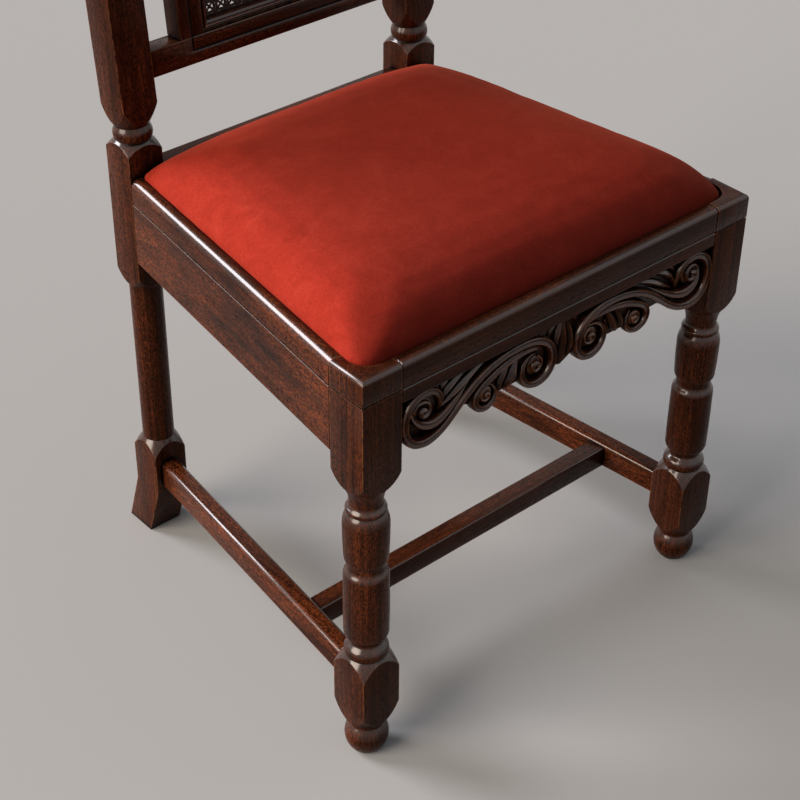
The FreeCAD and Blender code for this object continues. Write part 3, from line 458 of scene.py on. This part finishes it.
# Lower edge of the apron's right half, as distance from the middle and height
APRON_EDGE = [(0, 361.5), (5, 363), (10, 365.5), (15, 368), (20, 369), (27, 364.5), (36, 362.5), (45, 364),
              (53, 367), (60, 367), (69, 367), (77, 367), (84, 366.5), (90, 363.5), (98, 362.5), (105, 364),
              (111, 368), (121, 373), (131, 373.5), (140, 368), (150, 362), (162, 359.5), (174, 361),
              (184, 365), (193, 371), (199, 371)]


def rail_section(low, top_round, scratch):
    """A seat rail's section, as depth from its outer face and height: a rounded top, a scratched line with a
    worn lower lip, and the rebate that holds the seat."""
    section = [(ARRIS, low), (ARRIS_MID, low + ARRIS_MID), (0, low + ARRIS), (0, low + FLAT)] + scratch
    steps = 6
    for step in range(steps + 1):
        turn = math.pi / 2 * step / steps
        section.append((top_round * (1 - math.cos(turn)), RAIL_TOP - top_round * (1 - math.sin(turn))))
    section += [(SEAT_LIP - INNER_ARRIS, RAIL_TOP), (SEAT_LIP - INNER_ARRIS / 4, RAIL_TOP - INNER_ARRIS / 4),
                (SEAT_LIP, RAIL_TOP - INNER_ARRIS)]
    return section + [(SEAT_LIP, REBATE), (RAIL_THICK, REBATE), (RAIL_THICK, low)]


def ease_ends(rail, axis, ends):
    """Breaks the edges of a rail's two ends, so that each joint shows as a small groove."""
    close = 0.01 * MM
    edit(rail)
    for place in ends:
        pick(rail, edges=lambda edge: all(abs(vertex.co[axis] - place) < close for vertex in edge.verts))
        bpy.ops.mesh.bevel(offset=EASE * MM, segments=1, clamp_overlap=False)
    done()


def front_rail():
    """The rail's strip and the sunk board below it, with its wavy lower edge."""
    half = HALF_FRONT - LEG
    end = half - SEAM
    section = [at(-end, depth, height) for depth, height in rail_section(STRIP_LOW, FRONT_ROUND, FINE_LINE)]
    strip = board("front_rail", section, (2 * end * MM, 0, 0))
    ease_ends(strip, 0, (-end * MM, end * MM))
    edge = [(-x, z) for x, z in reversed(APRON_EDGE)] + APRON_EDGE[1:]
    top = STRIP_LOW + APRON_TUCK
    outline = [(half, top), (-half, top)] + edge
    apron = board("apron_board", [at(x, GROUND, z) for x, z in outline], (0, (RAIL_THICK - GROUND) * MM, 0))
    soften_edges(apron, APRON_ROUND)
    apply_modifiers(apron)
    rail = join("front_rail", [strip, apron])
    smooth(rail)
    dress(rail, oak["X"])
    return rail


def side_rail(name, side):
    """A side rail, running in from the front leg to the back post."""
    start = LEG + SEAM
    section = [at(side * (HALF_FRONT - depth), start, height)
               for depth, height in rail_section(SIDE_LOW, SIDE_ROUND, WORN_LINE)]
    rail = board(name, section, (-side * RUN_IN * MM, (POST_FACE - start) * MM, 0))
    ease_ends(rail, 1, (FACE + start * MM, FACE + POST_FACE * MM))
    smooth(rail)
    dress(rail, oak["Y"])
    return rail


# Profiles across a carved stroke, as shares of half its width: across, and up from the ground
REED = [(-1, -0.2), (-1, 0.50), (-0.88, 0.80), (-0.64, 0.98), (-0.36, 0.93), (0, 0.84), (0.36, 0.93),
        (0.64, 0.98), (0.88, 0.80), (1, 0.50), (1, -0.2)]
BLADE = [(-1, -0.2), (-1, 0.35), (-0.7, 0.62), (-0.3, 0.80), (0, 1.0), (0.3, 0.80), (0.7, 0.62), (1, 0.35),
         (1, -0.2)]
BEAD = [(-1, -0.2), (-1, 0.3), (-0.8, 0.68), (-0.45, 0.92), (0, 1.0), (0.45, 0.92), (0.8, 0.68), (1, 0.3),
        (1, -0.2)]
# Carved strokes of the right half: profile, rise over width, and points with x, z and width in millimetres
STROKES = [
    # the long scroll: round the end volute, down and up over the middle one
    ("reed", 1.0, [(152, 381, 2), (151, 390, 5), (153, 402, 7.5), (162, 412, 8), (176, 413.5, 8.5),
                   (189, 407, 9), (195.5, 394, 9), (194.5, 377, 9), (186, 364, 9.5), (173, 359.5, 9.5),
                   (160, 361, 9), (148, 366.5, 8.5), (137, 375, 8), (125, 385.5, 8), (111, 396, 8),
                   (95, 404, 8), (77, 409, 8), (58, 411, 8.5), (40, 409.5, 9), (25, 402, 9), (16, 390, 9),
                   (15, 376, 9), (22, 364, 9), (34, 359.5, 8.5), (46, 362.5, 8), (53, 371, 7),
                   (53.5, 381, 6), (48, 389, 4.5), (40, 392, 3), (33, 390, 1.5)]),
    # its inner reed, over the middle volute and round the small one
    ("reed", 1.0, [(22, 388, 1.5), (31, 397, 4.5), (45, 402, 7), (62, 402.5, 8), (80, 398.5, 8),
                   (95, 392, 8), (107, 385, 7.5), (112.5, 375, 7.5), (108, 364.5, 7.5), (97, 360.5, 7),
                   (87.5, 364, 6), (83.5, 371.5, 4.5), (86, 379.5, 3), (91, 383.5, 1.5)]),
    # upper reed of the outer scroll, running into the end volute
    ("reed", 1.0, [(114, 400, 1), (125, 393, 4), (137, 385, 6.5), (150, 378.5, 8.5), (163, 376, 10),
                   (175, 379.5, 9), (183, 387, 6), (185, 395, 2)]),
    # leaf between the middle and the small volutes
    ("blade", 0.8, [(58, 397, 4), (62, 389, 9), (66, 380, 10), (70, 373, 8), (72, 369.5, 4)]),
    ("blade", 0.8, [(68, 397, 4), (73, 390, 7), (77, 382, 7), (80, 375, 6), (81, 371, 3.5)]),
    ("blade", 0.7, [(57, 388, 3), (58.5, 380, 6), (61, 374, 6), (63, 370, 4)]),
    # leaf over the outer scroll
    ("blade", 0.8, [(92, 413, 2), (108, 409, 6), (124, 401, 8), (139, 391, 6), (151, 383, 1)]),
    ("blade", 0.8, [(116, 414, 2), (131, 410, 7), (143, 402, 8), (150, 393, 4), (152, 386, 1)]),
    ("blade", 0.7, [(136, 414, 2), (145, 410, 6), (150, 404, 4), (152, 398, 1)]),
    # middle leaf
    ("blade", 0.75, [(2, 415, 3), (6, 405, 7), (10, 393, 8), (11, 379, 7), (8.5, 369, 3)]),
    ("blade", 0.7, [(5, 415, 2), (12, 411, 5), (17, 405, 4), (20, 400, 1)]),
]
MIDDLE_LEAF = ("blade", 0.62, [(0, 416, 4), (0, 403, 9), (0, 388, 12), (0, 374, 9), (0, 363.5, 3)])
# Volutes of the right half: x, z, radius, and the way and angle at which their spiral winds in
VOLUTES = [(35, 379, 10.5, 1, 100), (96.5, 373.5, 9, -1, 119), (172, 393, 12.5, 1, 9)]
WIND_IN = 470           # degrees that a volute's spiral turns
BEAD_RISE = 1.35


def carving():
    """Scrolls and leaves laid along strokes on the apron's board, the left half a mirror of the right."""
    profiles = {}
    for kind, points in (("reed", REED), ("blade", BLADE), ("bead", BEAD)):
        outline = bpy.data.curves.new(f"{kind}_profile", "CURVE")
        line = outline.splines.new("POLY")
        line.points.add(len(points) - 1)
        for point, (across, up) in zip(line.points, points):
            point.co = (across, up, 0, 1)
        line.use_cyclic_u = True
        profiles[kind] = put_in_scene(f"{kind}_profile", outline)

    def stroke(kind, rise, points):
        """One profile, swept along the points with their widths and raised to its height."""
        curve = bpy.data.curves.new("stroke", "CURVE")
        curve.dimensions = "3D"
        curve.twist_mode = "Z_UP"
        curve.bevel_mode = "OBJECT"
        curve.bevel_object = profiles[kind]
        curve.use_fill_caps = True
        curve.resolution_u = 5
        line = curve.splines.new("NURBS")
        line.points.add(len(points) - 1)
        for point, (x, z, width) in zip(line.points, points):
            point.co = (x * MM, z * MM, 0, 1)
            point.radius = width / 2 * MM
        line.order_u = 3
        line.use_endpoint_u = True
        piece = put_in_scene("stroke", curve)
        select_only(piece)
        bpy.ops.object.convert(target="MESH")
        for vertex in piece.data.vertices:
            vertex.co.z *= 2 * rise
        return piece

    def eye(x, z, radius, way, start):
        """A low boss with a bead winding in to its middle, sized by shares of the volute's radius."""
        boss_share, boss_height, sunk = 0.92, 6, 0.6
        rim_share, wound_share = 0.86, 0.74
        thin_share, swell_share, lead_share = 0.22, 0.30, 0.15
        clear_selection()
        bpy.ops.mesh.primitive_cylinder_add(vertices=32, radius=boss_share * radius * MM,
                                            depth=boss_height * MM, location=(x * MM, z * MM, -sunk * MM))
        boss = bpy.context.object
        edit(boss)
        pick(boss, faces=lambda face: face.normal.z > 0.9)
        for drawn_share, lift in ((0.12, 0.7), (0.3, 0.5), (0.3, 0.3)):
            bpy.ops.mesh.inset(thickness=radius * drawn_share * MM)
            bpy.ops.transform.translate(value=(0, 0, lift * MM))
        done()
        settle(boss)
        spiral = []
        steps = 15
        for step in range(steps + 1):
            share = step / steps
            turn = math.radians(start + way * WIND_IN * share)
            reach = radius * (rim_share - wound_share * share)
            swell = math.sin(math.pi * min(1, lead_share + share) / 2)
            width = radius * (thin_share + swell_share * swell)
            spiral.append((x + reach * math.cos(turn), z + reach * math.sin(turn), width))
        return join("eye", [boss, stroke("bead", BEAD_RISE, spiral)])

    right = join("apron_carving", [stroke(*entry) for entry in STROKES] + [eye(*entry) for entry in VOLUTES])
    left = put_in_scene("apron_carving", right.data.copy())
    for vertex in left.data.vertices:
        vertex.co.x *= -1
    left.data.flip_normals()
    piece = join("apron_carving", [right, left, stroke(*MIDDLE_LEAF)])
    for profile in profiles.values():
        bpy.data.objects.remove(profile)
    # stand the relief up: its height runs towards the front from the sunk ground
    piece.data.transform(Matrix.Translation(at(0, GROUND, 0)) @ Matrix.Rotation(math.pi / 2, 4, "X"))
    edit(piece)
    bpy.ops.mesh.select_all(action="SELECT")
    bpy.ops.mesh.remove_doubles(threshold=0.01 * MM)
    done()
    turn_out(piece)
    smooth(piece, 50)
    dress(piece, oak["X"])
    return piece


rail = front_rail()
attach(rail, "chair_frame")
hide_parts("front_seat_rail")
for name, side in (("side_rail_left", -1), ("side_rail_right", 1)):
    rail = side_rail(name, side)
    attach(rail, "chair_frame")
    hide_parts(name.replace("side_rail", "side_seat_rail"))
scrolls = carving()
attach(scrolls, "chair_frame")


# Velvet seat
SEAT_EDGE = 14.4        # the seat's edge, in from the rails' outer faces
SEAT_BACK = 402.6       # its back edge, just off the posts
HOLD = 2                # up to this height above the rails they hold the velvet
SPILL = 2.5             # how far its back corners lie over the side rails, and the height of that roll
ROLL = 12
FRONT_RADII = (24, 36)  # corners at the front, left and right, where the velvet swells over the rails
HELD_RADIUS = 20        # the same corners between the rails
BACK_RADIUS = 3
FRONT_PULL = 95         # how far from a corner the crown is pulled down
BACK_PULL = 130
SEAT_MIDDLE = 200
# Rings from the hollow under the seat, round the turned-under velvet and over the crown: how far each is
# drawn in from the seat's edge, and its height
SEAT_RINGS = [(43, 452), (43, 432.5), (1, 432.5), (0, 433.5), (0, RAIL_TOP), (-1.6, 457.2), (-1.8, 459.5),
              (0, 464), (5, 470.5), (12, 477), (24, 484), (42, 490), (66, 494.5), (96, 497), (126, 498)]


def seat_ring(draw_in, height):
    """Points round the seat's plan, drawn in from its edge: a tapered outline, round at the front corners,
    with the crown pulled down at all four."""
    front_grow_share, back_grow_share = 0.12, 0.2       # corners grow rounder as a ring is drawn in
    pull_share, fade_share = 0.5, 1.4                   # pull on a corner's height, and its fading inwards
    round_steps, side_steps = 8, 10
    above = height - RAIL_TOP
    front, back = SEAT_EDGE + draw_in, SEAT_BACK - max(draw_in, 0)
    spill = SPILL if 0 < above < ROLL else 0

    def half(y):
        return HALF_FRONT - RUN_IN * (y - LEG) / (POST_FACE - LEG) - SEAT_EDGE - draw_in

    corners = [Vector((-half(front), front)), Vector((half(front), front)),
               Vector((half(back) + spill, back)), Vector((-half(back) - spill, back))]
    front_radii = FRONT_RADII if above > HOLD else (HELD_RADIUS, HELD_RADIUS)
    radii = [radius + front_grow_share * draw_in for radius in front_radii]
    radii += [BACK_RADIUS + back_grow_share * draw_in] * 2
    arcs = []
    for number, (corner, radius) in enumerate(zip(corners, radii)):
        before = (corners[number - 1] - corner).normalized()
        after = (corners[(number + 1) % 4] - corner).normalized()
        slope = before.angle(after) / 2
        centre = corner + (before + after).normalized() * radius / math.sin(slope)
        reach = radius / math.tan(slope)
        arms = corner + before * reach - centre, corner + after * reach - centre
        arcs.append([centre + arms[0].lerp(arms[1], step / round_steps).normalized() * radius
                     for step in range(round_steps + 1)])
    ring = []
    for arc, following in zip(arcs, arcs[1:] + arcs[:1]):
        side = [arc[-1].lerp(following[0], step / side_steps) for step in range(1, side_steps)]
        for point in arc + side:
            reach = FRONT_PULL if point.y < SEAT_MIDDLE else BACK_PULL
            away = min((point - corner).length for corner in corners) + fade_share * draw_in
            near = max(0, 1 - away / reach)
            drop = pull_share * near * near * max(0, above)
            ring.append(at(point.x, point.y, height - drop))
    return ring


def velvet_seat():
    """The stuffed seat, as rings bridged one to the next, then evened out and relaxed."""
    last = len(SEAT_RINGS) - 1
    loops = [loop_of(seat_ring(*entry), "NGON" if number in (0, last) else "NOTHING")
             for number, entry in enumerate(SEAT_RINGS)]
    count = len(loops[0].data.vertices)
    piece = join("velvet_seat", loops)
    edit(piece)
    for number in range(last):
        pick(piece, edges=lambda edge: edge.verts[0].index // count == edge.verts[1].index // count
             and edge.verts[0].index // count in (number, number + 1))
        bpy.ops.mesh.bridge_edge_loops()
    done()
    turn_out(piece)
    remesh = piece.modifiers.new("even skin", "REMESH")
    remesh.mode = "VOXEL"
    remesh.voxel_size = 5 * MM
    relax = piece.modifiers.new("relaxed", "SMOOTH")
    relax.factor = 0.5
    relax.iterations = 5
    apply_modifiers(piece)
    stuff(piece)
    finer = piece.modifiers.new("finer", "SUBSURF")
    finer.levels = finer.render_levels = 1
    apply_modifiers(piece)
    smooth(piece, 60)
    dress(piece, velvet)
    return piece


def stuff(piece):
    """Swells the cushion against its cover: the crown may rise a little, the sides in the rails stay put."""
    held = (RAIL_TOP + HOLD) * MM
    loosening = 14 * MM                     # height over which the cover comes free of the rails
    least, more = 0.2 * MM, 1.8 * MM        # how far it may move where held, and how much more where free
    pressure, frames = 4, 20
    start = [vertex.co.copy() for vertex in piece.data.vertices]
    cloth = piece.modifiers.new("cover", "CLOTH")
    cloth.settings.use_pressure = True
    cloth.settings.uniform_pressure_force = pressure
    cloth.settings.effector_weights.gravity = 0
    for step in range(1, frames + 1):
        bpy.context.scene.frame_set(step)
    shaped = piece.evaluated_get(bpy.context.evaluated_depsgraph_get())
    swollen = [vertex.co.copy() for vertex in shaped.data.vertices]
    piece.modifiers.remove(cloth)
    bpy.context.scene.frame_set(1)
    for vertex, before, after in zip(piece.data.vertices, start, swollen):
        share = min(1.0, max(0.0, (before.z - held) / loosening))
        limit = least + more * share * share * (3 - 2 * share)
        move = after - before
        if move.length > limit:
            move = move.normalized() * limit
        vertex.co = before + move


seat = velvet_seat()
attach(seat, "lift_out_seat")
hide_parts("seat_cover", "seat_stuffing")


# Back: mouldings and cane
CANE_LEVEL = -19.2      # the weave lies this far behind the posts' faces
CANE_THICK = 0.7
TUCK_X = 2              # the weave ends this far inside the mouldings' outer edges
TUCK_Y = 1
# Section of a moulding round the cane: distance in from its outer edge, and level against the posts' faces
MOULDING = [(0, -18), (0, -8.6), (1.7, -8.6), (2, -10.2), (2.8, -10.4), (3.1, -9.4), (3.7, -8.6),
            (4.6, -8.3), (5.5, -8.6), (6.1, -9.4), (6.4, -10.6), (7.2, -10.8), (8.1, -11.6), (9, -13),
            (9.7, -15), (10, -16.5), (10, -18)]


def back_matrix(level):
    """Places a flat piece, drawn in x and y, on the leaning back: y runs up it and z towards the front."""
    turn = Matrix.Rotation(math.pi / 2 - math.atan(RAKE), 4, "X")
    return Matrix.Translation(at(0, POST_FACE, BACK_START)) @ turn @ Matrix.Translation((0, 0, level * MM))


def strand(length, width, wave, pitch, phase):
    """One flat strip of cane along y, waving over and under the strips that it crosses."""
    piece = cells(1, max(2, round(length / (pitch / 2))))
    for vertex in piece.data.vertices:
        along = vertex.co.y * length
        vertex.co = (vertex.co.x * width, along, wave * math.cos(math.pi * along / pitch + phase))
    thicken(piece, CANE_THICK)
    return piece


def repeat(piece, step, count):
    rows = piece.modifiers.new("row", "ARRAY")
    rows.use_relative_offset = False
    rows.use_constant_offset = True
    rows.constant_offset_displace = (step, 0, 0)
    rows.count = count
    apply_modifiers(piece)


def cane_weave():
    """Six-way cane: pairs of strips up and across, and single strips on both slants."""
    half_x = (PANEL_HALF - TUCK_X) * MM
    low, high = (PANEL_LOW + TUCK_Y) * MM, (PANEL_HIGH - TUCK_Y) * MM
    pitch, width, slant_width = 13.4 * MM, 2.7 * MM, 2.43 * MM
    pair = 1.45 * MM                        # half the distance between the two strips of a pair
    wave, slant_wave = 0.35 * MM, 0.25 * MM
    slant_level = 0.75 * MM
    middle = (low + high) / 2
    tall = high - low
    columns = int(2 * half_x / pitch)
    rows = int(tall / pitch)
    pieces = []
    for offset, phase in ((-pair, 0), (pair, math.pi)):
        upright = strand(tall, width, wave, pitch, phase)
        repeat(upright, pitch, columns)
        upright.location = (-(columns - 1) * pitch / 2 + offset, middle, 0)
        settle(upright)
        across = strand(2 * half_x, width, wave, pitch, phase + math.pi)
        repeat(across, pitch, rows)
        across.rotation_euler = (0, 0, math.pi / 2)
        across.location = (0, middle - (rows - 1) * pitch / 2 + offset, 0)
        settle(across)
        pieces += [upright, across]
    slant_pitch = pitch / math.sqrt(2)
    reach = tall + 2 * half_x
    count = int(reach / pitch) + 1
    for slant, level in ((math.pi / 4, slant_level), (-math.pi / 4, -slant_level)):
        diagonal = strand(reach, slant_width, slant_wave, slant_pitch, 0)
        repeat(diagonal, slant_pitch, count)
        diagonal.data.transform(Matrix.Translation((-(count - 1) * slant_pitch / 2, 0, level)))
        diagonal.data.transform(Matrix.Translation((pitch / 2, middle, 0)) @ Matrix.Rotation(slant, 4, "Z"))
        edit(diagonal)
        for point, way in (((half_x, 0, 0), (1, 0, 0)), ((-half_x, 0, 0), (-1, 0, 0)),
                           ((0, high, 0), (0, 1, 0)), ((0, low, 0), (0, -1, 0))):
            bpy.ops.mesh.select_all(action="SELECT")
            bpy.ops.mesh.bisect(plane_co=point, plane_no=way, clear_outer=True, use_fill=True)
        done()
        pieces.append(diagonal)
    weave = join("cane_weave", pieces)
    weave.data.transform(back_matrix(CANE_LEVEL))
    smooth(weave, 60)
    dress(weave, cane)
    return weave


def cane_moulding(name, start, end, grain):
    """A mitred strip round the cane, with a fillet, a bead and a hollow, drawn with the panel on its left."""
    start, end = Vector(start), Vector(end)
    along = (end - start).normalized()
    inward = Vector((-along.y, along.x))
    outline = [((start + inward * depth).to_3d() + Vector((0, 0, level))) * MM for depth, level in MOULDING]
    piece = board(name, outline, (end - start).to_3d() * MM)
    for vertex in piece.data.vertices:
        place = vertex.co.xy / MM - start
        mitre = place.dot(inward) * (1 if place.dot(along) < (end - start).length / 2 else -1)
        vertex.co += (along * mitre * MM).to_3d()
    piece.data.transform(back_matrix(0))
    smooth(piece, 30)
    dress(piece, oak[grain])
    return piece


corners = [(-PANEL_HALF, PANEL_LOW), (PANEL_HALF, PANEL_LOW), (PANEL_HALF, PANEL_HIGH),
           (-PANEL_HALF, PANEL_HIGH)]
for number, (place, grain) in enumerate((("bottom", "X"), ("right", "Z"), ("top", "X"), ("left", "Z"))):
    strip = cane_moulding(f"cane_moulding_{place}", corners[number], corners[(number + 1) % 4], grain)
    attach(strip, "chair_frame")
    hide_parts(f"panel_moulding_{place}")
weave = cane_weave()
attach(weave, "chair_frame")
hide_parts("cane_panel")


# Underside of the seat
HESSIAN_THICK = 0.9
STRAP_THICK = 1.0


def hessian_sheet():
    """The hessian over the webbing, bowed a little, and its flat size: mean width by depth."""
    low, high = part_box("seat_hessian")
    taper, bow, below_top = 24 * MM, 1.2 * MM, 0.5 * MM
    piece = cells(40, 40)
    piece.name = "hessian_sheet"
    for vertex in piece.data.vertices:
        u, v = vertex.co.x * 2, vertex.co.y * 2
        half = high.x - taper * (v + 1)
        height = high.z - below_top + bow * (1 - u * u) * (1 - v * v)
        vertex.co = (u * half, (low.y + high.y) / 2 + v * (high.y - low.y) / 2, height)
    thicken(piece, HESSIAN_THICK)
    apply_modifiers(piece)
    smooth(piece)
    dress(piece, jute)
    return piece, (2 * (high.x - taper), high.y - low.y)


def webbing_straps():
    """Six straps, three each way, passing over and under each other."""
    low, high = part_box("seat_webbing")
    middle_y = (low.y + high.y) / 2
    width, taper = 50 * MM, 11 * MM
    wave, mid_level = 0.55 * MM, 1.2 * MM
    apart, apart_across = 69 * MM, 83 * MM  # spacing of the straps that run back, and of those across
    pieces = []
    for number in (-1, 0, 1):
        for runs_back in (True, False):
            length = high.y - low.y if runs_back else 2 * (high.x - taper * (number + 1))
            spacing, crossing = (apart, apart_across) if runs_back else (apart_across, apart)
            sign = (1 if number == 0 else -1) * (1 if runs_back else -1)
            piece = cells(6, 60)
            for vertex in piece.data.vertices:
                beside = number * spacing + vertex.co.x * width
                along = vertex.co.y * length
                height = low.z + mid_level + wave * sign * math.cos(math.pi * along / crossing)
                x, y = (beside, along) if runs_back else (along, beside)
                vertex.co = (x, middle_y + y, height)
            thicken(piece, STRAP_THICK)
            apply_modifiers(piece)
            turn_out(piece)
            pieces.append(piece)
    straps = join("webbing_straps", pieces)
    smooth(straps)
    dress(straps, strapping)
    return straps


sheet, cut_size = hessian_sheet()
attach(sheet, "lift_out_seat")
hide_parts("seat_hessian")
straps = webbing_straps()
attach(straps, "lift_out_seat")
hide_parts("seat_webbing")


# Studio
FLOOR = 80              # width of the floor in metres
LAMP_AWAY = 3           # the lamps' stands, in metres from the chair
# Lamps: where each stands as seen from the chair, how wide it looks in degrees, its level and colour
LAMPS = {"window": ((-0.87, 0.15, 0.47), 42, 2.7, "#fff1e2"),
         "skylight": ((-0.40, 0.74, 0.54), 27, 2.0, "#fbf9ff"),
         "fill": ((0.55, -0.65, 0.52), 80, 0.15, "#eef2ff")}
# Camera of the photograph, from a fit to the chair's corners: millimetres, degrees and pixels
CAMERA_PLACE = (-1026.444, -938.177, 1336.082)
CAMERA_YAW, CAMERA_PITCH, CAMERA_ROLL = 41.315, -36.232, 0.626
FOCAL_PIXELS = 1834.919
PHOTO_PIXELS = 800


def studio():
    """A wide painted floor, a plain backdrop and three far, soft lamps."""
    clear_selection()
    bpy.ops.mesh.primitive_plane_add(size=FLOOR)
    floor = bpy.context.object
    floor.name = "studio_floor"
    paint, tree, surface = new_material("pale_floor_paint")
    world = bpy.data.worlds.new("studio")
    bpy.context.scene.world = world
    world.use_nodes = True
    # eyes and mirrors see a pale floor and backdrop, but the light that these give the chair is darker
    for part, socket, room, seen in (
            (tree, surface.inputs["Base Color"], "#5a5a5c", "#bab9b7"),
            (world.node_tree, world.node_tree.nodes["Background"].inputs["Color"], "#727579", "#b4b4b3")):
        path = add(part, "ShaderNodeLightPath")
        mirrored = add(part, "ShaderNodeMath", {0: path.outputs["Is Glossy Ray"],
                                                1: path.outputs["Is Transmission Ray"]}, operation="MAXIMUM")
        looked_at = add(part, "ShaderNodeMath", {0: path.outputs["Is Camera Ray"], 1: mirrored.outputs[0]},
                        operation="MAXIMUM")
        tone = add(part, "ShaderNodeMix", {"Factor": looked_at.outputs[0], "A": linear(room),
                                           "B": linear(seen)}, data_type="RGBA")
        part.links.new(tone.outputs["Result"], socket)
    surface.inputs["Roughness"].default_value = 0.8
    dress(floor, paint)
    for name, (towards, spread, level, colour) in LAMPS.items():
        lamp = bpy.data.lights.new(name, "SUN")
        lamp.angle = math.radians(spread)
        lamp.energy = level
        lamp.color = linear(colour)[:3]
        light = put_in_scene(name, lamp)
        light.location = Vector(towards) * LAMP_AWAY
        light.rotation_euler = (-Vector(towards)).to_track_quat("-Z", "Y").to_euler()


def camera():
    """Stands where the photograph was taken."""
    yaw, pitch, roll = [math.radians(angle) for angle in (CAMERA_YAW, CAMERA_PITCH, CAMERA_ROLL)]
    ahead = Vector((math.sin(yaw) * math.cos(pitch), math.cos(yaw) * math.cos(pitch), math.sin(pitch)))
    level = Vector((math.cos(yaw), -math.sin(yaw), 0))
    above = level.cross(ahead)
    right = level * math.cos(roll) + above * math.sin(roll)
    up = above * math.cos(roll) - level * math.sin(roll)
    lens = bpy.data.cameras.new("camera")
    lens.sensor_fit = "HORIZONTAL"
    lens.lens = FOCAL_PIXELS / PHOTO_PIXELS * lens.sensor_width
    piece = put_in_scene("camera", lens)
    turned = Matrix((right, up, -ahead)).transposed().to_4x4()
    piece.matrix_world = Matrix.Translation(at(*CAMERA_PLACE)) @ turned
    bpy.context.scene.camera = piece


studio()
camera()
bpy.context.scene.view_settings.view_transform = "Standard"
